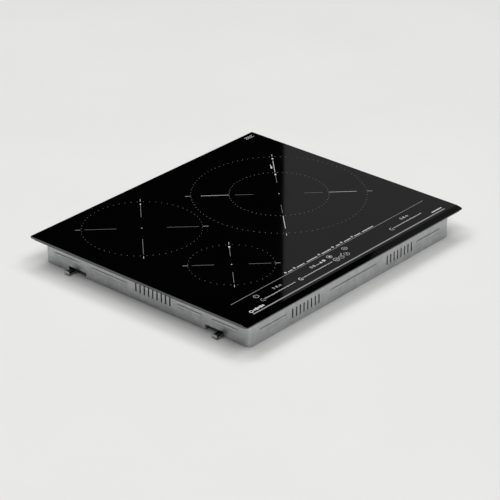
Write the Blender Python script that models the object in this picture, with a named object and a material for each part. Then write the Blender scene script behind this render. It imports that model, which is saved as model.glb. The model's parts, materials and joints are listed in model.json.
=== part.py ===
"""Built-in induction hob: a black glass top bonded to a vented steel casing.

Frame: X to the right, Y to the back, Z up. The origin is at the centre of the
casing's underside. Every size is in metres.
"""
import math

import bmesh
import bpy
from mathutils import Matrix, Vector

# Glass and cut-out
GLASS_WIDTH = 0.600
GLASS_DEPTH = 0.510
GLASS_THICKNESS = 0.004
GLASS_UNDERSIDE = 0.051
GLASS_EDGE_CHAMFER = 0.0004
GLASS_FRONT_RADIUS = 0.005
GLASS_REAR_RADIUS = 0.002
BEVEL_DEPTH = 0.014
BEVEL_DROP = 0.0025

# Fits and sheet thicknesses
GAP = 0.0003
STEEL = 0.001
ALUMINIUM = 0.0015
PLASTIC = 0.0015
CIRCUIT_BOARD = 0.0016

# Casing, sized to drop through a 560 x 490 cut-out
CASING_WIDTH = 0.552
CASING_DEPTH = 0.482
CASING_RADIUS = 0.006
CASING_TOP = 0.0483
FLOOR_TOP = STEEL + GAP

# Seal and bond under the glass
TAPE_THICKNESS = 0.002
TAPE_WIDTH = 0.006
TAPE_INSET = 0.002
BOND_THICKNESS = 0.0008
FLANGE_REACH = 0.0033
SKIRT_BOTTOM = 0.036

# Air slots, each count with the place of its first slot
SLOT_WIDTH = 0.003
FAN_SLOT_PITCH = 0.006
FAN_SLOT_ROWS = 9
FAN_SLOT_RIB = 0.0015
WALL_SLOT_PITCH = 0.010
FRONT_SLOTS = (8, 0.095)
REAR_SLOTS = (6, 0.085)
SIDE_SLOTS = (9, -0.060)
END_SLOT_Z = (0.012, 0.030)
SIDE_SLOT_Z = (0.016, 0.034)
FLOOR_SLOT_Y = (-0.215, -0.190)

# Cooking zones: centre x, centre y, then inner and outer radius of each winding
ZONES = {
    "rear_left": (-0.147, 0.127, ((0.024, 0.098),)),
    "front_left": (-0.147, -0.087, ((0.020, 0.066),)),
    "right": (0.1225, 0.0345, ((0.026, 0.084), (0.094, 0.1445))),
}
PLATE_TOP = 0.040
PLATE_FRONT = -0.157
PLATE_REAR = 0.236
PLATE_SIDE = 0.270
PLATE_SPLIT = -0.028
PLATE_GAP = 0.004
PLATE_LIP = 0.008
WIRE_HOLE = 0.010
LEAD_HOLE = 0.008
LEAD_HOLES = {
    "left": ((-0.235, 0.022), (-0.060, 0.022), (-0.235, -0.130)),
    "right": ((0.250, -0.125), (0.250, 0.200), (0.000, -0.125), (0.000, 0.200)),
}
CARRIER_BASE = 0.005
CARRIER_WALL = 0.0015
CARRIER_TOP = 0.0498
WINDING_TOP = 0.0496
MICA_THICKNESS = 0.0006
SENSOR_RADIUS = 0.007
SENSOR_FLANGE = 0.014

# Leaf springs under the coil plates, front ones along Y and rear ones along X
SPRING_X = 0.135
SPRING_Y = (-0.105, 0.224)
LEAF_SHEET = 0.0008
LEAF_WIDTH = 0.016
LEAF_REACH = 0.034
LEAF_SLOPE = 0.034

# Electronics on each side, measured outwards from the middle of the casing
FAN_X = 0.135
FAN_Y = 0.168
FAN_RADIUS = 0.042
FAN_TOP = 0.0193
FAN_WALL = 0.0014
FAN_INLET = 0.026
ROTOR_RADIUS = 0.037
ROTOR_BLADES = 11
BLADE_START = 0.020
BLADE_THICKNESS = 0.0012
BLADE_SWEEP = 0.42
STATOR_RADIUS = 0.009
POST_BOTTOM = 0.0075
HUB_BOTTOM = 0.0055
HUB_WALL = 0.0012
FAN_MOUTH = 0.0485
FAN_TONGUE = 0.010
FAN_WRAP = 256
SHAFT_RADIUS = 0.0015
BOARD_BOTTOM = 0.006
BOARD_TOP = BOARD_BOTTOM + CIRCUIT_BOARD
BOARD_X = (0.040, 0.230)
BOARD_Y = (-0.040, 0.112)

TRAY_MARGIN = 0.005
POST_INSET = 0.012
HEATSINK_X = (0.126, 0.176)
HEATSINK_Y = (0.018, 0.106)
HEATSINK_HEIGHT = 0.026
HEATSINK_BASE = 0.004
HEATSINK_FINS = 9
FIN = 0.0014
CAPACITORS = {
    "dc_link_capacitor": ((0.064, 0.060), (0.032, 0.042, 0.026)),
    "resonant_capacitor": ((0.064, 0.004), (0.026, 0.042, 0.022)),
}
CAPACITOR_EDGE = 0.0008
OUTPUT_CHOKE = ((0.204, 0.060), 0.009, 0.019, 0.012)
FILTER_BOARD_X = 0.032
FILTER_BOARD_Y = (0.040, 0.170)
FILTER_CHOKE = ((0.0, 0.135), 0.008, 0.020, 0.016)
FILTER_CAPACITOR = ((-0.020, 0.060), (0.040, 0.018, 0.022))

# Hold-down clamps in pockets along the bottom side edges
CLAMP_X = 0.262
CLAMP_Y = 0.175
CLAMP_ARM = 0.030
CLAMP_WIDTH = 0.014
CLAMP_SHEET = 0.0015
CLAMP_BOTTOM = 0.0033
CLAMP_TIP = 0.0084
POCKET_INNER = 0.251
POCKET_HEIGHT = 0.010
POCKET_SHORT = 0.0085
POCKET_LONG = 0.0335
SCREW_RADIUS = 0.002
SCREW_HEAD = 0.0042

# Terminal box in the rear wall
COVER_WIDTH = 0.088
COVER_BOTTOM = 0.0032
COVER_TOP = 0.036
TERMINAL_OPENING = (0.080, 0.005, 0.032)
CABLE_X = 0.025
CABLE_RADIUS = 0.0055
CABLE_DROP = 0.014
HINGE_Z = 0.0032
HINGE_BEHIND = 0.0016
HINGE_PIN = 0.0009
HINGE_BARREL = 0.0013
EAR_REACH = 0.0034
EAR_HALF = 0.0022
EAR_ROOT = 0.0040
EAR_SHEET = 0.0027
TERMINAL_X = (-0.037, 0.009)
TERMINAL_Y = (0.206, 0.228)
TERMINAL_STEP = 0.006
TERMINAL_STEP_Z = 0.013
TERMINAL_TOP = 0.021
STRAP_Y = (0.222, 0.234)
STRAP_INNER = 0.0075
STRAP_OUTER = 0.012
STRAP_Z = (0.0155, 0.0195)

# Touch control behind the front edge
CONTROL_X = 0.252
CONTROL_Y = (-0.233, -0.163)
CONTROL_Z = (0.0405, 0.0480)
CONTROL_BOARD_DROP = 0.0038
CONTROL_LEG_X = 0.200
CONTROL_LEG_Y = (-0.224, -0.172)
DISPLAYS = {
    "left": (-0.1575, 0.034),
    "middle": (-0.047, 0.052),
    "right": (0.196, 0.034),
}
DISPLAY_Y = -0.1985
DISPLAY_DEPTH = 0.012
RIBBON_X = 0.080
RIBBON_START_Y = -0.180
RIBBON_END_Y = -0.034
RIBBON_BEND = 0.012
RIBBON_WIDTH = 0.020
RIBBON_THICKNESS = 0.0008
RIBBON_CLEARANCE = 0.0043

FINISHES = {
    "black_glass": ((0.012, 0.012, 0.014), 0.05, 0.0),
    "foam": ((0.05, 0.05, 0.05), 0.9, 0.0),
    "silicone": ((0.03, 0.03, 0.03), 0.6, 0.0),
    "casing_steel": ((0.55, 0.56, 0.57), 0.4, 1.0),
    "spring_steel": ((0.45, 0.45, 0.46), 0.3, 1.0),
    "aluminium": ((0.75, 0.76, 0.77), 0.35, 1.0),
    "copper": ((0.72, 0.35, 0.16), 0.4, 1.0),
    "mica": ((0.62, 0.58, 0.47), 0.6, 0.0),
    "dark_plastic": ((0.03, 0.03, 0.03), 0.55, 0.0),
    "white_plastic": ((0.75, 0.75, 0.72), 0.5, 0.0),
    "circuit_board": ((0.02, 0.16, 0.07), 0.45, 0.0),
    "capacitor": ((0.55, 0.33, 0.06), 0.35, 0.0),
    "ferrite": ((0.08, 0.08, 0.085), 0.6, 0.0),
    "display": ((0.05, 0.01, 0.01), 0.2, 0.0),
}


def make_material(name):
    """A Principled material with one colour, roughness and metallic value."""
    colour, roughness, metallic = FINISHES[name]
    material = bpy.data.materials.new(name)
    material.use_nodes = True
    shader = material.node_tree.nodes["Principled BSDF"]
    shader.inputs["Base Color"].default_value = (*colour, 1.0)
    shader.inputs["Roughness"].default_value = roughness
    shader.inputs["Metallic"].default_value = metallic
    material.diffuse_color = (*colour, 1.0)
    return material


def add_part(name, shape, finish, pivot=(0.0, 0.0, 0.0), is_round=False):
    """Turn a shape in world coordinates into a named object with its origin at pivot."""
    bmesh.ops.recalc_face_normals(shape, faces=shape.faces)
    bmesh.ops.translate(shape, vec=-Vector(pivot), verts=shape.verts)
    mesh = bpy.data.meshes.new(name)
    shape.to_mesh(mesh)
    shape.free()
    mesh.materials.append(MATERIALS[finish])
    if is_round:
        mesh.shade_smooth()
        mesh.set_sharp_from_angle(angle=math.radians(35))
    part = bpy.data.objects.new(name, mesh)
    part.location = pivot
    bpy.context.collection.objects.link(part)
    return part


def combine(part, tool, operation):
    """Cut a hidden tool from a part, or weld it on, with an exact Boolean."""
    modifier = part.modifiers.new(operation.lower(), "BOOLEAN")
    modifier.operation = operation
    modifier.solver = "EXACT"
    modifier.object = tool
    tool.hide_render = True
    tool.display_type = "WIRE"


def loft(shape, rings, closed=False):
    """Join rings of equal count with quads; cap the ends unless the loft is closed."""
    rows = [[shape.verts.new(point) for point in ring] for ring in rings]
    count = len(rows[0])
    pairs = list(zip(rows, rows[1:]))
    if closed:
        pairs.append((rows[-1], rows[0]))
    else:
        shape.faces.new(rows[0])
        shape.faces.new(rows[-1])
    for lower, upper in pairs:
        for i in range(count):
            j = (i + 1) % count
            shape.faces.new((lower[i], lower[j], upper[j], upper[i]))
    return shape


def box(shape, low, high):
    """Add one box between two corners."""
    size = [b - a for a, b in zip(low, high)]
    centre = [(a + b) / 2 for a, b in zip(low, high)]
    matrix = Matrix.Translation(centre) @ Matrix.Diagonal((*size, 1.0))
    bmesh.ops.create_cube(shape, size=1.0, matrix=matrix)
    return shape


def boxes(spans):
    """A shape of separate boxes, each given by its low and high corners."""
    shape = bmesh.new()
    for low, high in spans:
        box(shape, low, high)
    return shape


def circle(radius, z, segments, centre=(0.0, 0.0)):
    """Points of a level circle."""
    turns = [2 * math.pi * i / segments for i in range(segments)]
    return [
        (centre[0] + radius * math.cos(t), centre[1] + radius * math.sin(t), z)
        for t in turns
    ]


def turned(shape, profile, segments, centre=(0.0, 0.0), closed=False):
    """Turn a profile of (radius, z) about a vertical axis."""
    rings = [circle(radius, z, segments, centre) for radius, z in profile]
    return loft(shape, rings, closed)


def rounded_outline(half_x, half_y, z, front_radius, rear_radius, steps=4):
    """Points of a level rectangle about the origin, with rounded corners."""
    points = []
    corners = ((1, 1, 0), (-1, 1, 90), (-1, -1, 180), (1, -1, 270))
    for sign_x, sign_y, start in corners:
        radius = rear_radius if sign_y > 0 else front_radius
        centre_x = sign_x * (half_x - radius)
        centre_y = sign_y * (half_y - radius)
        for step in range(steps + 1):
            angle = math.radians(start + 90 * step / steps)
            x = centre_x + radius * math.cos(angle)
            y = centre_y + radius * math.sin(angle)
            points.append((x, y, z))
    return points


def edge_ring(section, half_x, half_y, radius):
    """A closed band round a rectangle; section lists (outward offset, z)."""
    rings = [
        rounded_outline(half_x + out, half_y + out, z, radius + out, radius + out)
        for out, z in section
    ]
    return loft(bmesh.new(), rings, closed=True)


def prism(shape, outline, low, high, axis):
    """Extrude a flat outline of two coordinates along the third axis."""
    index = "XYZ".index(axis)
    rings = []
    for level in (low, high):
        ring = []
        for a, b in outline:
            point = [a, b]
            point.insert(index, level)
            ring.append(point)
        rings.append(ring)
    return loft(shape, rings)


def thickened(line, thickness):
    """Outline of a bent strip: a line of points and its parallel on the left."""
    parallel = []
    for index, point in enumerate(line):
        before = Vector(line[max(index - 1, 0)])
        after = Vector(line[min(index + 1, len(line) - 1)])
        along = (after - before).normalized()
        parallel.append((point[0] - along.y * thickness, point[1] + along.x * thickness))
    return line + parallel[::-1]


def mirrored(shape, side):
    """Reflect a shape made on the +X side when side is negative."""
    if side < 0:
        bmesh.ops.scale(shape, vec=(-1.0, 1.0, 1.0), verts=shape.verts)
    return shape


def make_glass():
    """The ceramic glass: ground side edges and a long flat bevel along the front."""
    half_x = GLASS_WIDTH / 2
    half_y = GLASS_DEPTH / 2
    top = GLASS_UNDERSIDE + GLASS_THICKNESS
    chamfer = GLASS_EDGE_CHAMFER
    layers = (
        (chamfer, GLASS_UNDERSIDE),
        (0.0, GLASS_UNDERSIDE + chamfer),
        (0.0, top - chamfer),
        (chamfer, top),
    )
    rings = [
        rounded_outline(
            half_x - inset,
            half_y - inset,
            z,
            GLASS_FRONT_RADIUS - inset,
            GLASS_REAR_RADIUS - inset,
        )
        for inset, z in layers
    ]
    glass = add_part("glass_top", loft(bmesh.new(), rings), "black_glass")
    slope = BEVEL_DROP / BEVEL_DEPTH
    overshoot = 0.004
    start = -half_y + BEVEL_DEPTH
    wedge = (
        (start + overshoot, top + overshoot * slope),
        (-half_y - overshoot, top - BEVEL_DROP - overshoot * slope),
        (-half_y - overshoot, top + overshoot),
    )
    reach = half_x + overshoot
    tool = prism(bmesh.new(), wedge, -reach, reach, "X")
    combine(glass, add_part("glass_bevel_tool", tool, "black_glass"), "DIFFERENCE")


def make_seals_and_frame():
    """Foam tape, silicone bead and the angle frame that joins glass to casing."""
    tape_top = GLASS_UNDERSIDE - GAP
    tape_bottom = tape_top - TAPE_THICKNESS
    section = (
        (0.0, tape_top),
        (0.0, tape_bottom),
        (-TAPE_WIDTH, tape_bottom),
        (-TAPE_WIDTH, tape_top),
    )
    half_x = GLASS_WIDTH / 2 - TAPE_INSET
    half_y = GLASS_DEPTH / 2 - TAPE_INSET
    tape = edge_ring(section, half_x, half_y, TAPE_WIDTH + TAPE_INSET)
    add_part("sealing_tape", tape, "foam")

    skirt_x = CASING_WIDTH / 2 - STEEL - GAP
    skirt_y = CASING_DEPTH / 2 - STEEL - GAP
    skirt_radius = CASING_RADIUS - STEEL - GAP
    flange_top = CASING_TOP + GAP + STEEL
    section = (
        (FLANGE_REACH, flange_top),
        (FLANGE_REACH, flange_top - STEEL),
        (0.0, flange_top - STEEL),
        (0.0, SKIRT_BOTTOM),
        (-STEEL, SKIRT_BOTTOM),
        (-STEEL, flange_top),
    )
    frame = edge_ring(section, skirt_x, skirt_y, skirt_radius)
    add_part("support_frame", frame, "casing_steel")

    bond_top = GLASS_UNDERSIDE - GAP
    bond_bottom = bond_top - BOND_THICKNESS
    outer = FLANGE_REACH - GAP
    inner = -STEEL + GAP
    section = ((outer, bond_top), (outer, bond_bottom), (inner, bond_bottom), (inner, bond_top))
    bond = edge_ring(section, skirt_x, skirt_y, skirt_radius)
    add_part("silicone_bond", bond, "silicone")


def pocket_span(side, end, grow):
    """Corners of one clamp pocket, grown by a wall thickness."""
    near = CLAMP_Y - POCKET_LONG - grow
    far = CLAMP_Y + POCKET_SHORT + grow
    inner = POCKET_INNER - grow
    outer = CASING_WIDTH / 2 + 0.01
    low_x, high_x = sorted((side * inner, side * outer))
    low_y, high_y = sorted((end * near, end * far))
    return (low_x, low_y, -0.01), (high_x, high_y, POCKET_HEIGHT + grow)


def pocket_spans(grow):
    """Corners of all four clamp pockets."""
    return [pocket_span(side, end, grow) for side in (-1, 1) for end in (-1, 1)]


def slot_span(centre, along, low, high):
    """A slot-wide cutter centred at one coordinate of X (along 0) or Y (along 1)."""
    low, high = list(low), list(high)
    low.insert(along, centre - SLOT_WIDTH / 2)
    high.insert(along, centre + SLOT_WIDTH / 2)
    return tuple(low), tuple(high)


def grille_spans():
    """Slots under each fan, and slots in the walls where warm air leaves."""
    spans = []
    through = 0.01
    front, rear = -CASING_DEPTH / 2, CASING_DEPTH / 2
    for side in (-1, 1):
        for row in range(FAN_SLOT_ROWS):
            offset = (row - FAN_SLOT_ROWS // 2) * FAN_SLOT_PITCH
            reach = math.sqrt(FAN_INLET**2 - offset**2)
            for half in (-1, 1):
                a, b = sorted((half * FAN_SLOT_RIB, half * reach))
                low = (side * FAN_X + a, -through)
                high = (side * FAN_X + b, through)
                spans.append(slot_span(FAN_Y + offset, 1, low, high))
        for (count, first), wall in ((FRONT_SLOTS, front), (REAR_SLOTS, rear)):
            for column in range(count):
                x = side * (first + WALL_SLOT_PITCH * column)
                low = (wall - through, END_SLOT_Z[0])
                high = (wall + through, END_SLOT_Z[1])
                spans.append(slot_span(x, 0, low, high))
        for column in range(REAR_SLOTS[0]):
            x = side * (REAR_SLOTS[1] + WALL_SLOT_PITCH * column)
            spans.append(slot_span(x, 0, (FLOOR_SLOT_Y[0], -through), (FLOOR_SLOT_Y[1], through)))
        for column in range(SIDE_SLOTS[0]):
            y = SIDE_SLOTS[1] + WALL_SLOT_PITCH * column
            wall = side * CASING_WIDTH / 2
            low = (wall - through, SIDE_SLOT_Z[0])
            high = (wall + through, SIDE_SLOT_Z[1])
            spans.append(slot_span(y, 1, low, high))
    width, bottom, top = TERMINAL_OPENING
    spans.append(((-width / 2, rear - through, bottom), (width / 2, rear + through, top)))
    return spans


def make_tray():
    """The pressed steel casing with clamp pockets, air slots and hinge ears."""
    half_x = CASING_WIDTH / 2
    half_y = CASING_DEPTH / 2
    radius = CASING_RADIUS
    rings = [rounded_outline(half_x, half_y, z, radius, radius) for z in (0.0, CASING_TOP)]
    tray = add_part("bottom_tray", loft(bmesh.new(), rings), "casing_steel")
    pockets = add_part("tray_pocket_tool", boxes(pocket_spans(0.0)), "casing_steel")
    combine(tray, pockets, "DIFFERENCE")

    inside = radius - STEEL
    rings = [
        rounded_outline(half_x - STEEL, half_y - STEEL, z, inside, inside)
        for z in (STEEL, CASING_TOP + 0.01)
    ]
    cavity = add_part("tray_cavity_tool", loft(bmesh.new(), rings), "casing_steel")
    shells = add_part("tray_shell_tool", boxes(pocket_spans(STEEL)), "casing_steel")
    combine(cavity, shells, "DIFFERENCE")
    combine(tray, cavity, "DIFFERENCE")

    slots = add_part("tray_slot_tool", boxes(grille_spans()), "casing_steel")
    combine(tray, slots, "DIFFERENCE")

    holes = bmesh.new()
    for side in (-1, 1):
        for end in (-1, 1):
            ends = ((SCREW_RADIUS + GAP, 0.005), (SCREW_RADIUS + GAP, 0.015))
            turned(holes, ends, 12, (side * CLAMP_X, end * CLAMP_Y))
    combine(tray, add_part("tray_hole_tool", holes, "casing_steel"), "DIFFERENCE")

    ears = bmesh.new()
    ear_outline = (
        (half_y - STEEL / 2, HINGE_Z - EAR_HALF),
        (half_y + EAR_REACH, HINGE_Z - EAR_HALF),
        (half_y + EAR_REACH, HINGE_Z + EAR_HALF),
        (half_y - STEEL / 2, HINGE_Z + EAR_ROOT),
    )
    for side in (-1, 1):
        inner = side * (COVER_WIDTH / 2 + GAP)
        outer = side * (COVER_WIDTH / 2 + GAP + EAR_SHEET)
        prism(ears, ear_outline, inner, outer, "X")
    combine(tray, add_part("tray_ear_tool", ears, "casing_steel"), "UNION")
    bores = hinge_rod(COVER_WIDTH + 0.02, HINGE_PIN + GAP)
    combine(tray, add_part("tray_bore_tool", bores, "casing_steel"), "DIFFERENCE")


def hinge_axis():
    """Point at the middle of the terminal cover's hinge line."""
    return (0.0, CASING_DEPTH / 2 + HINGE_BEHIND, HINGE_Z)


def hinge_rod(length, radius, segments=12):
    """A rod along the terminal cover's hinge line."""
    _, y, z = hinge_axis()
    turns = [2 * math.pi * i / segments for i in range(segments)]
    outline = [(y + radius * math.cos(t), z + radius * math.sin(t)) for t in turns]
    return prism(bmesh.new(), outline, -length / 2, length / 2, "X")


def make_terminal_box():
    """Terminal block, cable clamp, and the hinged cover with its cable notch."""
    rear = CASING_DEPTH / 2
    low = (-COVER_WIDTH / 2, rear + GAP, COVER_BOTTOM)
    high = (COVER_WIDTH / 2, rear + GAP + PLASTIC, COVER_TOP)
    cover = add_part("terminal_box_cover", boxes([(low, high)]), "dark_plastic", hinge_axis())
    notch = []
    for step in range(9):
        angle = math.pi + math.pi * step / 8
        x = CABLE_X + CABLE_RADIUS * math.cos(angle)
        z = COVER_TOP - CABLE_DROP + CABLE_RADIUS * math.sin(angle)
        notch.append((x, z))
    notch.append((CABLE_X + CABLE_RADIUS, COVER_TOP + 0.01))
    notch.append((CABLE_X - CABLE_RADIUS, COVER_TOP + 0.01))
    tool = prism(bmesh.new(), notch, rear - 0.01, rear + 0.01, "Y")
    combine(cover, add_part("cover_notch_tool", tool, "dark_plastic"), "DIFFERENCE")
    barrel = add_part("cover_barrel_tool", hinge_rod(COVER_WIDTH, HINGE_BARREL), "dark_plastic")
    combine(cover, barrel, "UNION")
    pin = add_part("cover_pin_tool", hinge_rod(COVER_WIDTH + 0.005, HINGE_PIN), "dark_plastic")
    combine(cover, pin, "UNION")

    front, back = TERMINAL_Y
    block = (
        (front, FLOOR_TOP),
        (back, FLOOR_TOP),
        (back, TERMINAL_STEP_Z),
        (back - TERMINAL_STEP, TERMINAL_STEP_Z),
        (back - TERMINAL_STEP, TERMINAL_TOP),
        (front + TERMINAL_STEP, TERMINAL_TOP),
        (front + TERMINAL_STEP, TERMINAL_STEP_Z),
        (front, TERMINAL_STEP_Z),
    )
    add_part("terminal_block", prism(bmesh.new(), block, *TERMINAL_X, "X"), "white_plastic")

    under, top = STRAP_Z
    strap = (
        (CABLE_X - STRAP_OUTER, FLOOR_TOP),
        (CABLE_X - STRAP_INNER, FLOOR_TOP),
        (CABLE_X - STRAP_INNER, under),
        (CABLE_X + STRAP_INNER, under),
        (CABLE_X + STRAP_INNER, FLOOR_TOP),
        (CABLE_X + STRAP_OUTER, FLOOR_TOP),
        (CABLE_X + STRAP_OUTER, top),
        (CABLE_X - STRAP_OUTER, top),
    )
    add_part("cable_clamp", prism(bmesh.new(), strap, *STRAP_Y, "Y"), "dark_plastic")


def make_coil(zone):
    """Carrier dish, windings, mica sheet and temperature sensor of one zone."""
    x, y, windings = ZONES[zone]
    centre = (x, y)
    segments = 32
    low = PLATE_TOP + GAP
    deck = low + CARRIER_BASE
    inner = windings[0][0] - GAP
    outer = windings[-1][1] + GAP
    profile = [
        (inner - CARRIER_WALL, low),
        (outer + CARRIER_WALL, low),
        (outer + CARRIER_WALL, CARRIER_TOP),
        (outer, CARRIER_TOP),
        (outer, deck),
    ]
    if len(windings) == 2:
        rib_outer = windings[1][0] - GAP
        rib_inner = windings[0][1] + GAP
        profile += [
            (rib_outer, deck),
            (rib_outer, CARRIER_TOP),
            (rib_inner, CARRIER_TOP),
            (rib_inner, deck),
        ]
    profile += [(inner, deck), (inner, CARRIER_TOP), (inner - CARRIER_WALL, CARRIER_TOP)]
    carrier = turned(bmesh.new(), profile, segments, centre, closed=True)
    add_part(f"coil_carrier_{zone}", carrier, "dark_plastic", is_round=True)

    names = ("inner", "outer") if len(windings) == 2 else ("",)
    bottom = deck + GAP
    for label, (r_in, r_out) in zip(names, windings):
        section = [(r_in, bottom), (r_out, bottom), (r_out, WINDING_TOP), (r_in, WINDING_TOP)]
        winding = turned(bmesh.new(), section, segments, centre, closed=True)
        name = f"winding_{zone}_{label}".rstrip("_")
        add_part(name, winding, "copper", is_round=True)

    top = GLASS_UNDERSIDE - GAP
    hole = SENSOR_RADIUS + 0.002
    section = [
        (hole, top - MICA_THICKNESS),
        (outer + CARRIER_WALL, top - MICA_THICKNESS),
        (outer + CARRIER_WALL, top),
        (hole, top),
    ]
    mica = turned(bmesh.new(), section, segments, centre, closed=True)
    add_part(f"mica_sheet_{zone}", mica, "mica", is_round=True)

    profile = [
        (SENSOR_FLANGE, low),
        (SENSOR_FLANGE, low + 0.0015),
        (SENSOR_RADIUS, low + 0.0015),
        (SENSOR_RADIUS, top),
    ]
    sensor = turned(bmesh.new(), profile, 16, centre)
    add_part(f"temperature_sensor_{zone}", sensor, "silicone", is_round=True)


def make_coil_plate(side, left, right, zones):
    """An aluminium sheet with folded front and rear lips, carried on leaf springs."""
    lip = PLATE_TOP - PLATE_LIP
    under = PLATE_TOP - ALUMINIUM
    outline = (
        (PLATE_FRONT, lip),
        (PLATE_FRONT + ALUMINIUM, lip),
        (PLATE_FRONT + ALUMINIUM, under),
        (PLATE_REAR - ALUMINIUM, under),
        (PLATE_REAR - ALUMINIUM, lip),
        (PLATE_REAR, lip),
        (PLATE_REAR, PLATE_TOP),
        (PLATE_FRONT, PLATE_TOP),
    )
    sheet = prism(bmesh.new(), outline, left, right, "X")
    plate = add_part(f"coil_plate_{side}", sheet, "aluminium")
    cuts = bmesh.new()
    holes = [(ZONES[zone][0], ZONES[zone][1], WIRE_HOLE) for zone in zones]
    holes += [(x, y, LEAD_HOLE) for x, y in LEAD_HOLES[side]]
    for x, y, radius in holes:
        turned(cuts, ((radius, lip), (radius, PLATE_TOP + 0.01)), 20, (x, y))
    combine(plate, add_part(f"plate_{side}_tool", cuts, "aluminium"), "DIFFERENCE")


def make_lift_spring(name, centre, along):
    """A bent steel leaf between the casing floor and a coil plate, lying along X or Y."""
    foot = FLOOR_TOP
    crown = PLATE_TOP - ALUMINIUM - GAP - LEAF_SHEET
    start, cross = centre if along == "X" else centre[::-1]
    line = [(start - LEAF_REACH, foot)]
    steps = 6
    for step in range(steps + 1):
        share = step / steps
        rise = (1 - math.cos(math.pi * share)) / 2
        line.append((start + LEAF_SLOPE * (share - 0.5), foot + (crown - foot) * rise))
    line.append((start + LEAF_REACH, crown))
    outline = thickened(line, LEAF_SHEET)
    low, high = cross - LEAF_WIDTH / 2, cross + LEAF_WIDTH / 2
    leaf = prism(bmesh.new(), outline, low, high, "Y" if along == "X" else "X")
    add_part(name, leaf, "spring_steel")


def make_fan(side, label):
    """Blower housing with its stator post, and the impeller that turns round it."""
    axis = (side * FAN_X, FAN_Y)
    mouth = FAN_Y - FAN_MOUTH

    def outline(inset, mouth_y):
        radius = FAN_RADIUS - inset
        points = []
        for step in range(25):
            angle = math.radians(FAN_WRAP * step / 24)
            points.append((FAN_X + radius * math.cos(angle), FAN_Y + radius * math.sin(angle)))
        points.append((FAN_X - FAN_TONGUE + inset, mouth_y))
        points.append((FAN_X + radius, mouth_y))
        return points

    body = prism(bmesh.new(), outline(0.0, mouth), FLOOR_TOP, FAN_TOP, "Z")
    housing = add_part(f"fan_housing_{label}", mirrored(body, side), "dark_plastic")
    floor = FLOOR_TOP + FAN_WALL
    roof = FAN_TOP - FAN_WALL
    cavity = prism(bmesh.new(), outline(FAN_WALL, mouth - 0.01), floor, roof, "Z")
    tool = add_part(f"fan_cavity_{label}_tool", mirrored(cavity, side), "dark_plastic")
    combine(housing, tool, "DIFFERENCE")
    inlet = turned(bmesh.new(), ((FAN_INLET, 0.0), (FAN_INLET, 0.005)), 24, axis)
    tool = add_part(f"fan_inlet_{label}_tool", inlet, "dark_plastic")
    combine(housing, tool, "DIFFERENCE")
    post_profile = (
        (STATOR_RADIUS, roof + 0.0005),
        (STATOR_RADIUS, POST_BOTTOM),
        (SHAFT_RADIUS + GAP, POST_BOTTOM),
        (SHAFT_RADIUS + GAP, roof - 0.002),
    )
    post = turned(bmesh.new(), post_profile, 20, axis)
    tool = add_part(f"fan_post_{label}_tool", post, "dark_plastic")
    combine(housing, tool, "UNION")

    cup_inner = STATOR_RADIUS + 0.0005
    cup_outer = cup_inner + HUB_WALL
    plate_top = roof - 0.0008
    plate_bottom = plate_top - HUB_WALL
    web_bottom = POST_BOTTOM - 0.0005
    hub_profile = (
        (cup_outer, HUB_BOTTOM),
        (cup_outer, plate_bottom),
        (ROTOR_RADIUS, plate_bottom),
        (ROTOR_RADIUS, plate_top),
        (cup_inner, plate_top),
        (cup_inner, web_bottom),
        (SHAFT_RADIUS, web_bottom),
        (SHAFT_RADIUS, roof - 0.003),
    )
    hub = turned(bmesh.new(), hub_profile, 20, axis)
    impeller = add_part(f"fan_impeller_{label}", hub, "dark_plastic", (*axis, HUB_BOTTOM))
    blades = bmesh.new()
    for blade in range(ROTOR_BLADES):
        outline_points = blade_outline(2 * math.pi * blade / ROTOR_BLADES, axis, side)
        prism(blades, outline_points, floor + 0.0008, plate_bottom + 0.0005, "Z")
    tool = add_part(f"fan_blades_{label}_tool", blades, "dark_plastic")
    combine(impeller, tool, "UNION")


def blade_outline(turn, axis, side):
    """Outline of one curved blade between the impeller's inner and outer radius."""
    outer = ROTOR_RADIUS - 0.0005
    steps = 3
    edge = []
    for step in range(steps + 1):
        share = step / steps
        radius = BLADE_START + (outer - BLADE_START) * share
        sweep = turn + side * BLADE_SWEEP * share * share
        edge.append((radius, sweep))
    points = []
    for radius, sweep in edge:
        points.append((radius, sweep - BLADE_THICKNESS / radius / 2))
    for radius, sweep in reversed(edge):
        points.append((radius, sweep + BLADE_THICKNESS / radius / 2))
    return [(axis[0] + r * math.cos(a), axis[1] + r * math.sin(a)) for r, a in points]


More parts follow.
